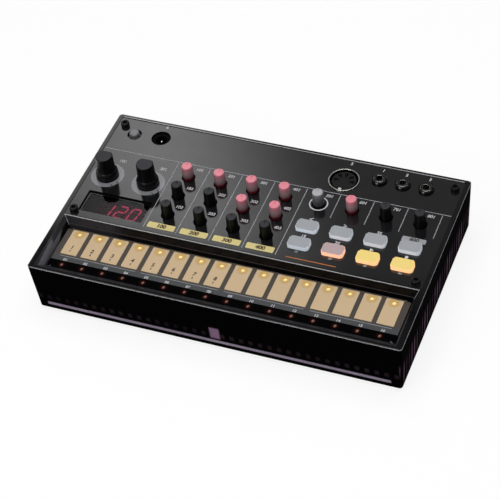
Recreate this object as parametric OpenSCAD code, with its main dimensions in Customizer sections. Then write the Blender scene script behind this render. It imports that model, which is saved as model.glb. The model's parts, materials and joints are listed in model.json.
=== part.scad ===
// Desktop drum machine: a smoked two-part case, an inset control panel with eighteen
// knobs and nine buttons, a touch strip with sixteen steps, and what works them inside.
// Origin: on the table, under the middle of the case. X to the right, Y to the back, Z up.

/* [Case] */
// Width of the case across its rim
case_w = 193; // [192:0.5:230]
// Depth of the case across its rim
case_d = 115; // [114.5:0.5:140]
// Height of the side walls
case_h = 29.6; // [29.6:0.2:45]
// How far each wall leans in from rim to bottom edge
wall_draft = 1.2; // [0:0.1:1.6]
// Thickness of the side walls
wall = 2.2; // [1.6:0.1:2.4]
// Radius of the upright corners
corner_r = 1.6; // [1:0.1:3]
// Bevel along the top edge
edge_bevel = 0.5; // [0.2:0.1:0.8]
// Thickness of the case under the panel and the touch plate
shelf_t = 1.8; // [1.2:0.1:2]
// Depth of the front bay that holds the touch plate, from the front face
front_bay_d = 38.4; // [38:0.1:39]
// Width of the bar between the panel and the front bay
bridge_w = 1.1; // [0.8:0.1:1.4]
// Width of the rim beside the front bay
bay_rim_w = 3.2; // [2.9:0.1:3.4]
// Inset of the front bay's side slopes
bay_slope_x = 2.3; // [1:0.1:2.6]
// Inset of the front bay's back slope
bay_slope_back = 1.6; // [0.5:0.1:2]
// Inset of the front bay's front slope
bay_slope_front = 5.6; // [3:0.1:6]
// Pitch of the stiffening ribs inside the walls
rib_pitch = 11; // [8:0.5:20]
// How far a rib stands off its wall
rib_proud = 1; // [0.5:0.1:1.5]

/* [Control panel] */
// Thickness of the panel
panel_t = 2; // [1.5:0.1:2.5]
// How far the panel lies below the rim
panel_drop = 0.3; // [0:0.1:0.6]
// Width of the rim beside the panel
panel_rim_w = 2.4; // [2:0.1:2.8]
// Gap between a panel and its pocket
panel_gap = 0.15; // [0.1:0.05:0.3]
// Width of the shelf that carries the panel
panel_ledge_w = 2.6; // [2:0.1:3]
// Shank diameter of every screw
screw_d = 2.4; // [2:0.1:2.6]
// Head diameter of the panel screws
screw_head_d = 4.4; // [4:0.1:5]
// Head height of the panel screws
screw_head_h = 2.3; // [1.5:0.1:2.6]
// Inset of the panel screws from the panel's sides
screw_in_x = 4; // [3.6:0.1:4.4]
// Inset of the panel screws from the panel's back edge
screw_in_back = 5.8; // [5:0.1:7]
// Inset of the panel screws from the panel's front edge
screw_in_front = 3.4; // [3.2:0.1:4]
// Diameter of the screw bosses
boss_d = 6; // [5:0.1:6.2]

/* [Knobs] */
// First column of small knobs, from the panel's left edge
first_column_in = 51.6; // [51:0.1:54]
// Last column of small knobs, from the panel's right edge
last_column_in = 13.4; // [12.8:0.1:15]
// Free strip of the panel before the knob rows
rows_in_front = 6.2; // [4:0.1:7]
// Free strip between the knob rows and the data socket
rows_in_back = 3.05; // [1:0.05:6]
// Diameter of a small knob at the panel
knob_d = 6; // [5:0.1:6.6]
// Diameter of a small knob at its top
knob_top_d = 5.5; // [4.8:0.1:6]
// Height of a small knob above the panel
knob_h = 8.5; // [6:0.5:14]
// Gap round a small knob in its panel hole
knob_gap = 0.55; // [0.3:0.05:0.7]
// Spindle diameter of a small knob
spindle_d = 4; // [3:0.1:4.6]
// Skirt diameter of a big knob
big_skirt_d = 11.5; // [11:0.1:14]
// Grip diameter of a big knob above its skirt
big_grip_d = 9.4; // [9:0.1:10.8]
// Grip diameter of a big knob at its top
big_top_d = 8.9; // [8:0.1:9.4]
// Height of a big knob above the panel
big_knob_h = 14; // [11:0.5:20]
// Spindle diameter of a big knob
big_spindle_d = 6; // [5:0.1:6.4]
// Pitch of the two big knobs
big_pitch = 22.8; // [20:0.1:24]
// Left big knob, from the panel's left edge
big_1_x = 10.3; // [10:0.1:11]
// Row of the big knobs, behind the middle row of small ones
big_row_back = 4.2; // [3:0.1:7]

/* [Buttons] */
// Width of a button
button_w = 11; // [9:0.1:13]
// Depth of a button
button_d = 6.9; // [6:0.1:9]
// Height of a button above the panel
button_h = 2; // [1.6:0.1:3]
// Travel of a button
button_travel = 0.8; // [0.5:0.1:1]
// Gap round a button in its window
button_gap = 0.25; // [0.2:0.05:0.4]
// Share of the free depth that lies before the lower button row
button_share_front = 0.3; // [0.2:0.01:0.4]
// Share of the free depth that lies between the button rows
button_share_between = 0.22; // [0.15:0.01:0.3]
// Diameter of a button's plunger
plunger_d = 3.3; // [2.4:0.1:4]
// Diameter of the power button
power_d = 5.4; // [5:0.1:7]
// Height of the power button above the panel
power_h = 1.8; // [0.9:0.1:2]
// Power button, from the panel's left edge
power_x = 11.6; // [11:0.1:12]

/* [Sockets] */
// Row of the jacks, from the back face
jack_row = 11.5; // [11:0.1:12]
// Pitch of the jacks
jack_pitch = 12.2; // [11.5:0.1:13]
// Middle jack, from the panel's right edge
jack_x = 30; // [28:0.1:31]
// Bore diameter of the jacks
jack_bore_d = 3.6; // [3.54:0.01:3.8]
// Depth of the jack bores
jack_depth = 14; // [10:0.5:15]
// Thread diameter of the jack collars
jack_thread_d = 6; // [5.4:0.1:6.4]
// Outer diameter of the jack nuts
nut_d = 8.1; // [7.6:0.1:9]
// Thickness of the jack nuts
nut_t = 1.5; // [1:0.1:2]
// Outer diameter of the round data socket
din_d = 16; // [15:0.1:17]
// Data socket, from the panel's right edge
din_x = 59.3; // [58:0.1:60]
// Row of the data socket, from the back face
din_row = 16.4; // [16:0.1:18]
// Hole for the power inlet in the panel
inlet_d = 10.3; // [9:0.1:11]
// Power inlet, from the panel's left edge
inlet_x = 26.4; // [26:0.1:30]

/* [Display] */
// Width of the display window
window_w = 35.2; // [34.5:0.1:36]
// Depth of the display window
window_d = 14.4; // [13.5:0.1:15]
// Thickness of the display window
window_t = 0.6; // [0.5:0.1:1.4]
// Middle of the window, from the panel's left edge
window_x = 23.4; // [23:0.1:24]
// Middle of the window, from the panel's front edge
window_y = 11.4; // [11:0.1:12]
// Pitch of the display's digits
digit_pitch = 7.3; // [6.6:0.1:7.6]
// Height of a digit
digit_h = 9.2; // [8:0.1:10]

/* [Touch plate] */
// Depth of the touch plate's face below the rim
plate_drop = 5.5; // [5.2:0.1:6]
// Thickness of the touch plate
plate_t = 3; // [2.4:0.1:3]
// Gap between the touch plate and the bay's side walls
plate_gap = 0.7; // [0.3:0.1:1]
// Depth of the touch plate, front to back
plate_d = 26.7; // [26.4:0.1:27]
// Front edge of the touch plate, from the front face
plate_y = 7.9; // [7.8:0.1:8]
// Width of the bevel on the plate's ends
plate_bevel_x = 2.1; // [0.5:0.1:2.2]
// Number of steps
steps = 16; // [8:1:16]
// Gap between two step pads
pad_gap = 2.4; // [1.5:0.1:4]
// From the plate's end to the first pad
pad_end = 3.3; // [2.6:0.1:6]
// Depth of a step pad
pad_d = 16.5; // [14:0.1:16.8]
// Thickness of a step pad
pad_t = 0.3; // [0.2:0.1:0.5]
// Back edge of the pads, from the plate's back edge
pad_in = 1; // [0.8:0.1:1.2]
// Diameter of the step lights
led_d = 2; // [1.5:0.1:2.4]

/* [Underside] */
// How high the feet hold the case off the table
foot_h = 2.7; // [2:0.1:5]
// Diameter of the feet
foot_d = 10; // [8:0.5:14]
// Inset of the feet from the sides
foot_in = 15; // [13.5:0.5:18]
// Thickness of the lower case's floor
base_t = 2; // [1.8:0.1:2]
// Height of the lip inside the walls
lip_h = 3.5; // [2:0.1:4]
// Thickness of the lip
lip_t = 1.4; // [1:0.1:1.6]
// Diameter of a battery cell
cell_d = 14.3; // [13.5:0.1:14.3]
// Length of a battery cell
cell_l = 50.5; // [48:0.1:51]
// Battery bay, from the left side
bay_in = 13.5; // [12.5:0.5:14.5]
// Front of the battery bay, from the middle
bay_y = -35; // [-35:0.5:-34]
// Thickness of the battery cover
cover_t = 1.8; // [1.6:0.1:1.8]
// Diameter of the speaker
speaker_d = 38; // [30:1:40]
// Middle of the speaker, from the right side
speaker_in = 31.5; // [30:0.5:32.5]
// Speaker, from the middle to the back
speaker_y = -14; // [-15:0.5:-12]

/* [Boards] */
// Thickness of the main board
board_t = 1.6; // [1:0.1:1.6]
// Room between the main board and the panel
board_gap = 8.4; // [8.2:0.1:8.4]
// Thickness of the touch board
touch_board_t = 1.2; // [0.8:0.1:1.2]
// Width of a small knob's potentiometer
pot_w = 9.6; // [8:0.1:11]
// Width of a big knob's potentiometer
big_pot_w = 12; // [10:0.1:13]
// Height of the potentiometers
pot_h = 6.8; // [5.5:0.1:6.8]
// Width of a button's switch
switch_w = 6.4; // [5:0.1:7]
// Height of a button's switch
switch_h = 4.4; // [4:0.1:4.8]

/* [Hidden] */
$fn = 48;
eps = 0.01;
// Gap round a turning spindle or a sliding plunger
turn_gap = 0.08;
// Gap between pieces that pass each other
part_gap = 0.3;
// Gap round a screw's shank in its pilot hole
thread_gap = 0.05;

// Heights, from the table up
wall_z = foot_h;
rim_z = wall_z + case_h;
panel_z = rim_z - panel_drop;
panel_under_z = panel_z - panel_t;
shelf_z = panel_under_z - shelf_t;
board_z = panel_under_z - board_gap;
board_under_z = board_z - board_t;
plate_z = rim_z - plate_drop;
plate_under_z = plate_z - plate_t;
slope_z = plate_z + 0.3;
bay_floor_z = plate_under_z - shelf_t + 0.2;
base_z = wall_z + base_t;
lip_z = base_z + lip_h;

// The panel's edges and the front bay's opening
panel_x = case_w / 2 - panel_rim_w;
panel_back = case_d / 2 - panel_rim_w + 0.4;
bay_back = -case_d / 2 + front_bay_d - bridge_w / 2;
panel_front = bay_back + bridge_w;
bay_open_x = case_w / 2 - bay_rim_w;
bay_front = -case_d / 2 + 1.8;
panel_d = panel_back - panel_front;

// The pocket at the foot of the bay's slopes, which holds the touch plate
pocket_x = bay_open_x - bay_slope_x;
pocket_front = bay_front + bay_slope_front;
pocket_back = bay_back - bay_slope_back;
plate_half_w = pocket_x - plate_gap;
plate_front = -case_d / 2 + plate_y;
plate_back = plate_front + plate_d;
plate_bevel_y = 0.7;
plate_bevel_h = 0.9;

// The opening in the bay's floor, which the touch board fills
hatch_in_x = 6.3;
hatch_in_front = 0.7;
hatch_in_back = 1.5;
hatch_x = plate_half_w - hatch_in_x;
hatch_front = plate_front + hatch_in_front;
hatch_back = plate_back - hatch_in_back;

// The bosses that the screws bite into
boss_x = panel_x - screw_in_x;
boss_back = panel_back - screw_in_back;
boss_front = panel_front + screw_in_front;
nose_boss_x = hatch_x + boss_d / 2 + 0.6;
nose_boss_y = plate_front + plate_d * 0.36;
panel_screw_xy = [for (y = [boss_back, boss_front]) for (s = [-1, 1]) [s * boss_x, y]];
case_screw_xy = concat(panel_screw_xy, [for (s = [-1, 1]) [s * nose_boss_x, nose_boss_y]]);
screw_bite = 8;
head_sink = 1;
case_head_d = 5;
case_head_h = 0.8;
cross_l = 2.6;
cross_w = 0.6;
hex_d = 2.4;
hex_depth = 1.3;

// The data socket, which the knob rows keep clear of
din_xy = [panel_x - din_x, case_d / 2 - din_row];
din_body_w = din_d + 2;

// Knobs: four columns of three, then four single ones in the back row
column_pitch = (2 * panel_x - first_column_in - last_column_in) / 7;
column_x = [for (i = [0:7]) -panel_x + first_column_in + i * column_pitch];
rows_front = panel_front + rows_in_front;
row_pitch = (din_xy[1] - din_body_w / 2 - rows_in_back - rows_front) / 3;
row_y = [for (i = [0:2]) rows_front + (2.5 - i) * row_pitch];
row_names = ["top", "middle", "bottom"];
small_knobs = concat(
    [for (c = [0:3]) for (r = [0:2])
        [str("column_", c + 1, "_", row_names[r], "_knob"), column_x[c], row_y[r]]],
    [for (c = [4:7]) [str("column_", c + 1, "_knob"), column_x[c], row_y[0]]]);
big_knobs = [for (i = [0, 1]) [["volume_knob", "tempo_knob"][i],
    -panel_x + big_1_x + i * big_pitch, row_y[1] + big_row_back]];
knob_hole_d = knob_d + 2 * knob_gap;
pot_corner_r = 0.4;
pot_floor = 0.6;
spindle_end_z = board_z + pot_floor + 0.2;
knob_foot_z = board_z + pot_h + part_gap;
big_knob_hole_d = big_spindle_d + 2 * knob_gap;
mark_w = 0.7;
mark_sink = 0.4;
// The upright flat that marks the back of a big knob, from the knob's middle
big_flat_y = big_top_d * 0.36;
big_grip_h = 4.5;

// Buttons: two rows before the single knobs, with the free depth shared out round them
button_flange = 0.6;
button_cell_d = button_d + 2 * button_flange;
button_front = panel_front + panel_ledge_w;
button_room = row_y[0] - pot_w / 2 - button_front - 2 * button_cell_d;
button_row_y = [for (r = [0, 1]) button_front + (r + 0.5) * button_cell_d
    + (button_share_front + r * button_share_between) * button_room];
button_nudge = 0.2;
button_names = [
    ["memory_button", "part_left_button"], ["step_button", "part_right_button"],
    ["play_button", "mute_button"], ["record_button", "shift_button"]];
buttons = [for (c = [0:3]) for (r = [0, 1])
    [button_names[c][r], column_x[c + 4] + button_nudge, button_row_y[r]]];
flange_t = 0.8;
flange_z = panel_under_z - part_gap - flange_t;
button_r = 1.7;
button_crown = 1;
button_slope = 0.8;
button_front_slope = 1.3;
switch_z = board_z + switch_h;
plunger_z = board_z + button_travel + 0.9;
power_xy = [-panel_x + power_x, case_d / 2 - jack_row - 1.5];
power_hole_d = power_d + 2.4;
power_travel = 1;

// Sockets
jack_y = case_d / 2 - jack_row;
jacks = [for (i = [0:2]) [["sync_in_jack", "sync_out_jack", "headphone_jack"][i],
    panel_x - jack_x + (i - 1) * jack_pitch, jack_y]];
jack_body_w = 9.4;
jack_top_z = panel_z + nut_t + 0.2;
jack_low_z = jack_top_z - jack_depth - 1;
din_shell_t = 0.65;
din_core_d = din_d - 3.5;
din_top_z = panel_z + 0.7;
din_core_z = panel_z - 0.1;
din_low_z = wall_z + 11.3;
din_floor_z = din_low_z + 4;
din_pin_r = 4.8;
din_pin_d = 1.5;
din_key_w = 2;
inlet_xy = [-panel_x + inlet_x, jack_y - 0.6];
inlet_collar_d = inlet_d - 0.3;
inlet_body_w = inlet_d + 1.7;
inlet_bore_d = 6;
inlet_pin_d = 1.65;
inlet_top_z = panel_z - 1.2;
inlet_low_z = board_under_z - 3;
inlet_floor_z = inlet_low_z + 2;

// Display
window_xy = [-panel_x + window_x, panel_front + window_y];
window_edge = 1;
window_ledge_t = 0.4;
window_z = panel_under_z + window_ledge_t;
module_w = 4 * digit_pitch + 2;
module_d = digit_h + 3;
module_top_z = panel_under_z - 1.5;
segment_w = 1.1;
segment_t = 0.2;
digit_w = 6;
digit_y = window_xy[1] - 0.5;

// Touch plate
pad_w = (2 * (plate_half_w - pad_end) - (steps - 1) * pad_gap) / steps;
pad_pitch = pad_w + pad_gap;
pad_y = plate_back - pad_in - pad_d / 2;
pad_x = [for (i = [0:steps - 1]) (i - (steps - 1) / 2) * pad_pitch];
step_led_y = plate_back - pad_in - 2.3;
part_led_y = plate_front + 2.3;
led_gap = 0.1;

// Lower case
bay_x = -case_w / 2 + bay_in;
speaker_x = case_w / 2 - speaker_in;
case_fit = 0.15;
foot_sink = 0.6;
cell_z = wall_z + cover_t + 0.25 + cell_d / 2;
cell_gap = 0.2;
cell_pitch = cell_d + cell_gap;
cell_nub_r = 2.7;
contact_t = 0.4;
contact_half = 5;
spring_l = 5;
spring_d = 6;
bay_l = 2 * cell_l + spring_l + 2 * contact_t + 0.2;
bay_w = 3 * cell_pitch + 1.6;
bay_wall = 1.2;
bay_roof = 0.7;
bay_top_z = cell_z + cell_d / 2 + 0.05 + bay_roof;
cover_gap = 0.3;
hinge_z = wall_z + cover_t / 2;
hinge_y = bay_y + bay_w - cover_gap - cover_t / 2;
hinge_pin_d = 1.1;
hinge_pin_l = 1.3;
scoop_half = 8;
groove_half = 7;
groove_w = 0.8;
groove_pitch = 2;
post_d = 4;
// Posts under the main board: two behind the battery bay, one left of the data socket, two at the right
post_to_socket = 22.8;
post_xy = [[bay_x + 9, 24], [bay_x + 53, 30], [din_xy[0] - post_to_socket, 40],
    [speaker_x + 18, 22], [speaker_x - 25, 14]];
grille_slot = 1.6;
grille_pitch = 3.4;
grille_edge = 3;

// Speaker
speaker_flange_t = 1;
speaker_flange_w = 2.4;
speaker_ring_w = 2;
basket_z = base_z + 7;
magnet_d = speaker_d * 0.55;
magnet_t = 4.5;
terminal_x = speaker_d * 0.36;

// ---- shapes used by several pieces ----

// A rectangle with round corners, as squares and circles
module round_rect(w, d, r) {
    square([w - 2 * r, d], center = true);
    square([w, d - 2 * r], center = true);
    for (x = [-1, 1])
        for (y = [-1, 1])
            translate([x * (w / 2 - r), y * (d / 2 - r)])
                circle(r);
}

// An upright block with round corners, centred on the given point
module round_block(xy, z0, z1, w, d, r) {
    translate([xy[0], xy[1], z0])
        linear_extrude(z1 - z0)
            round_rect(w, d, r);
}

// A profile in X and Z, run along Y
module along_y(l) {
    rotate([90, 0, 0])
        linear_extrude(l, center = true)
            children();
}

// A profile in Y and Z, run along X
module along_x(l) {
    rotate([90, 0, 90])
        linear_extrude(l, center = true)
            children();
}

// The outline of a block from z0 up whose top edges slope down, bevel wide and h high
function roof_outline(half, bevel, h, z0, z1) =
    let (out = 0.2, eave_z = z1 - h - out * h / bevel)
    [[-half - out, z0], [half + out, z0], [half + out, eave_z], [half - bevel, z1],
        [-half + bevel, z1], [-half - out, eave_z]];

// A block with round corners and sloping top edges, centred on the given point
module roofed_block(xy, z0, z1, w, d, r, bevel_x, bevel_y, h) {
    intersection() {
        round_block(xy, z0, z1 + 1, w, d, r);
        translate([xy[0], xy[1], 0]) {
            along_y(d + 2)
                polygon(roof_outline(w / 2, bevel_x, h, z0 - 1, z1));
            along_x(w + 2)
                polygon(roof_outline(d / 2, bevel_y, h, z0 - 1, z1));
        }
    }
}

// How far the wall has leaned in at a height
function lean(z) = wall_draft * (rim_z - edge_bevel - z) / (case_h - edge_bevel);

// Half of a leaning block's outline, from its half width at the rim
function lean_outline(half, z0, z1) =
    [[-half + lean(z0), z0], [half - lean(z0), z0], [half - lean(z1), z1], [-half + lean(z1), z1]];

// A block that follows the leaning walls, set in from them by inset
module leaning_block(inset, z0, z1) {
    intersection() {
        along_y(case_d + 2)
            polygon(lean_outline(case_w / 2 - inset, z0, z1));
        along_x(case_w + 2)
            polygon(lean_outline(case_d / 2 - inset, z0, z1));
    }
}

module rod(xy, z0, z1, d) {
    translate([xy[0], xy[1], z0])
        cylinder(d = d, h = z1 - z0);
}

module box(x0, x1, y0, y1, z0, z1) {
    translate([x0, y0, z0])
        cube([x1 - x0, y1 - y0, z1 - z0]);
}

// ---- case ----

// The outline of a pocket from low to high whose sides slope out above slope_z
function bay_outline(low, high, slope_low, slope_high, z0, z1) =
    let (run = (z1 - slope_z) / (rim_z - slope_z))
    [[low, z0], [high, z0], [high, slope_z], [high + run * slope_high, z1],
        [low - run * slope_low, z1], [low, slope_z]];

// The front bay: sloped sides over an upright pocket. grow makes the skin around it
module front_bay(grow, floor_z) {
    intersection() {
        along_y(case_d + 10)
            polygon(bay_outline(-pocket_x - grow, pocket_x + grow, bay_slope_x, bay_slope_x,
                floor_z, rim_z + 1));
        along_x(case_w + 10)
            polygon(bay_outline(pocket_front - grow, pocket_back + grow, bay_slope_front, bay_slope_back,
                floor_z, rim_z + 1));
    }
}

// A thin slice of the outer form, set in by a bevel
module rim_slice(bevel, z) {
    inset = 2 * (lean(z) + bevel);
    translate([0, 0, z])
        linear_extrude(eps)
            round_rect(case_w - inset, case_d - inset, corner_r, $fn = 32);
}

module outer_form() {
    hull() {
        rim_slice(0, wall_z);
        rim_slice(0, rim_z - edge_bevel);
        rim_slice(edge_bevel, rim_z - eps);
    }
}

module wall_ribs() {
    rib_t = 0.8;
    corner_room = 14;
    x_room = case_w / 2 - corner_room;
    y_room = case_d / 2 - corner_room;
    for (x = [-floor(x_room / rib_pitch):floor(x_room / rib_pitch)])
        for (s = [-1, 1])
            translate([x * rib_pitch - rib_t / 2, s * (case_d / 2 - wall - wall_draft) - rib_proud,
                lip_z + 1])
                cube([rib_t, 2 * rib_proud, bay_floor_z - lip_z - 1]);
    for (y = [-floor(y_room / rib_pitch):floor(y_room / rib_pitch)])
        for (s = [-1, 1])
            translate([s * (case_w / 2 - wall - wall_draft) - rib_proud, y * rib_pitch - rib_t / 2,
                lip_z + 1])
                cube([2 * rib_proud, rib_t, bay_floor_z - lip_z - 1]);
}

module upper_case() {
    color([0.06, 0.06, 0.07, 0.85])
    difference() {
        union() {
            difference() {
                outer_form();
                // The hollow, which leaves a skin round the front bay
                difference() {
                    leaning_block(wall, wall_z - 1, shelf_z);
                    front_bay(shelf_t, bay_floor_z);
                }
            }
            wall_ribs();
            for (p = panel_screw_xy)
                rod(p, base_z, panel_under_z + 1, boss_d);
            for (s = [-1, 1])
                rod([s * nose_boss_x, nose_boss_y], base_z, bay_floor_z + 0.8, boss_d);
        }
        front_bay(0, plate_under_z);
        // The panel's pocket and the opening below it
        round_block([0, (panel_front + panel_back) / 2], panel_under_z, rim_z + 1,
            2 * panel_x, panel_d, 1);
        difference() {
            box(-panel_x + panel_ledge_w, panel_x - panel_ledge_w,
                panel_front + panel_ledge_w, panel_back - panel_ledge_w,
                shelf_z - 1, rim_z);
            for (p = panel_screw_xy)
                rod(p, shelf_z - 2, rim_z + 1, boss_d);
        }
        // The hatch that the touch board fills
        box(-hatch_x, hatch_x, hatch_front, hatch_back, bay_floor_z - 1, plate_under_z + 1);
        // Pilot holes
        for (p = panel_screw_xy)
            rod(p, panel_under_z - screw_bite, panel_under_z + 1, screw_d + 2 * thread_gap);
        for (p = case_screw_xy)
            rod(p, base_z - 1, base_z + screw_bite, screw_d + 2 * thread_gap);
    }
}

module lower_case() {
    color([0.13, 0.13, 0.14])
    difference() {
        union() {
            // The floor, and the lip that stiffens the walls
            difference() {
                leaning_block(wall + case_fit, wall_z, lip_z);
                leaning_block(wall + case_fit + lip_t, base_z, lip_z + 1);
                for (p = case_screw_xy)
                    rod(p, base_z, lip_z + 1, boss_d + 2 * case_fit + 0.6);
            }
            // The battery bay's walls and roof
            box(bay_x - bay_wall, bay_x + bay_l + bay_wall, bay_y - bay_wall, bay_y + bay_w + bay_wall,
                wall_z + 1, bay_top_z);
            for (p = post_xy)
                rod(p, wall_z + 1, board_under_z, post_d);
            // The ring that locates the speaker
            difference() {
                rod([speaker_x, speaker_y], wall_z + 1, base_z + 2.5, speaker_d + 2 * speaker_ring_w);
                rod([speaker_x, speaker_y], wall_z, base_z + 3, speaker_d + 2 * case_fit);
            }
        }
        box(bay_x, bay_x + bay_l, bay_y, bay_y + bay_w, wall_z - 1, bay_top_z - bay_roof);
        // Bearings for the cover's pins, and a finger scoop at its free edge
        for (x = [bay_x - hinge_pin_l, bay_x + bay_l])
            translate([x - (x < bay_x + 1 ? 0.2 : 0), hinge_y, hinge_z])
                rotate([0, 90, 0])
                    cylinder(d = hinge_pin_d + 2 * turn_gap, h = hinge_pin_l + 0.2);
        box(bay_x + bay_l / 2 - scoop_half, bay_x + bay_l / 2 + scoop_half, bay_y - 4, bay_y + 1,
            wall_z - 1, wall_z + 1.1);
        // Sound slots
        for (i = [-4:4])
            let (x = speaker_x + i * grille_pitch,
                half = sqrt(pow(speaker_d / 2 - grille_edge, 2) - pow(i * grille_pitch, 2)))
                box(x - grille_slot / 2, x + grille_slot / 2, speaker_y - half, speaker_y + half,
                    wall_z - 1, base_z + 1);
        for (p = foot_xy())
            rod(p, wall_z - 1, wall_z + foot_sink, foot_d + 0.2);
        for (p = case_screw_xy) {
            rod(p, wall_z - 1, base_z + 1, screw_d + 0.4);
            rod(p, wall_z - 1, wall_z + head_sink, case_head_d + 0.4);
        }
    }
}

function foot_xy() = [for (x = [-1, 1]) for (y = [-1, 1])
    [x * (case_w / 2 - foot_in), y * (case_d / 2 - foot_in / 2 - 1)]];

module feet() {
    color([0.08, 0.08, 0.08])
    for (p = foot_xy()) {
        rod(p, 0.5, wall_z + foot_sink, foot_d);
        translate([p[0], p[1], 0])
            cylinder(d1 = foot_d - 1, d2 = foot_d, h = 0.5);
    }
}

module case_screws() {
    color([0.2, 0.2, 0.21])
    for (p = case_screw_xy)
        difference() {
            union() {
                rod(p, wall_z + head_sink - case_head_h, wall_z + head_sink, case_head_d);
                rod(p, wall_z + head_sink - eps, base_z + screw_bite - 1, screw_d);
            }
            for (a = [0, 90])
                translate([p[0], p[1], wall_z + head_sink - case_head_h])
                    rotate(a)
                        cube([cross_l, cross_w, case_head_h], center = true);
        }
}

module battery_cover() {
    color([0.12, 0.12, 0.13])
    difference() {
        union() {
            box(bay_x + cover_gap, bay_x + bay_l - cover_gap, bay_y + cover_gap, hinge_y,
                wall_z, wall_z + cover_t);
            translate([bay_x + cover_gap, hinge_y, hinge_z])
                rotate([0, 90, 0])
                    cylinder(d = cover_t, h = bay_l - 2 * cover_gap);
            // The moulded pins that the cover turns on
            translate([bay_x - hinge_pin_l + 0.1, hinge_y, hinge_z])
                rotate([0, 90, 0])
                    cylinder(d = hinge_pin_d, h = bay_l + 2 * hinge_pin_l - 0.2);
        }
        // Grip grooves by the finger scoop
        for (i = [0:3])
            box(bay_x + bay_l / 2 - groove_half, bay_x + bay_l / 2 + groove_half,
                bay_y + 3 + i * groove_pitch, bay_y + 3 + groove_w + i * groove_pitch,
                wall_z - 1, wall_z + 0.4);
    }
}

// ---- control panel ----

module control_panel() {
    w = 2 * (panel_x - panel_gap);
    d = panel_d - 2 * panel_gap;
    mid = (panel_front + panel_back) / 2;
    color([0.17, 0.17, 0.18])
    difference() {
        translate([0, 0, panel_under_z])
            linear_extrude(panel_t)
                difference() {
                    translate([0, mid])
                        round_rect(w, d, 0.9);
                    for (k = small_knobs)
                        translate([k[1], k[2]])
                            circle(d = knob_hole_d);
                    for (k = big_knobs)
                        translate([k[1], k[2]])
                            circle(d = big_knob_hole_d);
                    for (b = buttons)
                        translate([b[1], b[2]])
                            round_rect(button_w + 2 * button_gap, button_d + 2 * button_gap,
                                button_r + button_gap);
                    translate(power_xy)
                        circle(d = power_hole_d);
                    translate(inlet_xy)
                        circle(d = inlet_d);
                    translate(din_xy)
                        circle(d = din_d + 0.2);
                    for (j = jacks)
                        translate([j[1], j[2]])
                            circle(d = jack_thread_d + 0.3);
                    for (p = panel_screw_xy)
                        translate(p)
                            circle(d = screw_d + 0.4);
                    translate(window_xy)
                        round_rect(window_w - 2 * window_edge, window_d - 2 * window_edge, 0.6);
                }
        // The step that the window sits in
        round_block(window_xy, window_z, panel_z + 1, window_w + 0.2, window_d + 0.2, 0.9);
    }
}

module panel_screws() {
    color([0.12, 0.12, 0.13])
    for (p = panel_screw_xy)
        difference() {
            union() {
                rod(p, panel_z, panel_z + screw_head_h - 0.3, screw_head_d);
                translate([p[0], p[1], panel_z + screw_head_h - 0.3])
                    cylinder(d1 = screw_head_d, d2 = screw_head_d - 0.6, h = 0.3);
                rod(p, panel_under_z - screw_bite + 1, panel_z + eps, screw_d);
            }
            translate([p[0], p[1], panel_z + screw_head_h - hex_depth])
                cylinder(d = hex_d, h = 2, $fn = 6);
        }
}

module display_window() {
    color([0.16, 0.06, 0.08, 0.8])
    round_block(window_xy, window_z, window_z + window_t, window_w, window_d, 0.8);
}

module display_module() {
    color([0.1, 0.1, 0.11])
    round_block(window_xy, board_z, module_top_z, module_w, module_d, 0.5);
}

// One segment lying along X, with pointed ends
module segment(l) {
    half_l = l / 2;
    half_w = segment_w / 2;
    linear_extrude(segment_t)
        polygon([[-half_l, 0], [half_w - half_l, half_w], [half_l - half_w, half_w],
            [half_l, 0], [half_l - half_w, -half_w], [half_w - half_l, -half_w]]);
}

module display_segments() {
    half = (digit_h - segment_w) / 2;
    color([0.9, 0.15, 0.25])
    for (i = [-1.5:1.5])
        translate([window_xy[0] + i * digit_pitch, digit_y, module_top_z]) {
            for (y = [-half, 0, half])
                translate([0, y, 0])
                    segment(digit_w - segment_w - 0.3);
            for (x = [-1, 1])
                for (y = [-1, 1])
                    translate([x * (digit_w - segment_w) / 2, y * half / 2, 0])
                        rotate(90)
                            segment(half - 0.3);
        }
}

// ---- knobs ----

module small_knob(k) {
    top_z = panel_z + knob_h;
    difference() {
        translate([k[1], k[2], 0])
            rotate_extrude()
                polygon([[0, spindle_end_z], [spindle_d / 2, spindle_end_z], [spindle_d / 2, knob_foot_z],
                    [knob_d / 2, knob_foot_z], [knob_d / 2, panel_z],
                    [knob_top_d / 2, top_z - 0.4], [knob_top_d / 2 - 0.4, top_z], [0, top_z]]);
        // The pointer groove
        box(k[1] - mark_w / 2, k[1] + mark_w / 2, k[2] + 0.4, k[2] + knob_d, top_z - mark_sink, top_z + 1);
    }
}

module big_knob(k) {
    top_z = panel_z + big_knob_h;
    skirt_z = panel_z + part_gap;
    difference() {
        translate([k[1], k[2], 0])
            rotate_extrude()
                polygon([[0, spindle_end_z], [spindle_d / 2, spindle_end_z], [spindle_d / 2, knob_foot_z],
                    [big_spindle_d / 2, knob_foot_z], [big_spindle_d / 2, skirt_z],
                    [big_skirt_d / 2, skirt_z], [big_skirt_d / 2, skirt_z + 2.6],
                    [big_skirt_d / 2 - 0.2, skirt_z + 3.3],
                    [(big_skirt_d + big_grip_d) / 4, skirt_z + 4],
                    [big_grip_d / 2, skirt_z + big_grip_h],
                    [big_top_d / 2, top_z - 0.3], [big_top_d / 2 - 0.3, top_z], [0, top_z]]);
        box(k[1] - big_grip_d, k[1] + big_grip_d, k[2] + big_flat_y, k[2] + big_grip_d,
            skirt_z + big_grip_h, top_z + 1);
    }
}

module small_pots() {
    color([0.25, 0.3, 0.36])
    for (k = small_knobs)
        difference() {
            round_block([k[1], k[2]], board_z, board_z + pot_h, pot_w, pot_w, pot_corner_r);
            rod([k[1], k[2]], board_z + pot_floor, board_z + pot_h + 1, spindle_d + 2 * turn_gap);
        }
}

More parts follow.
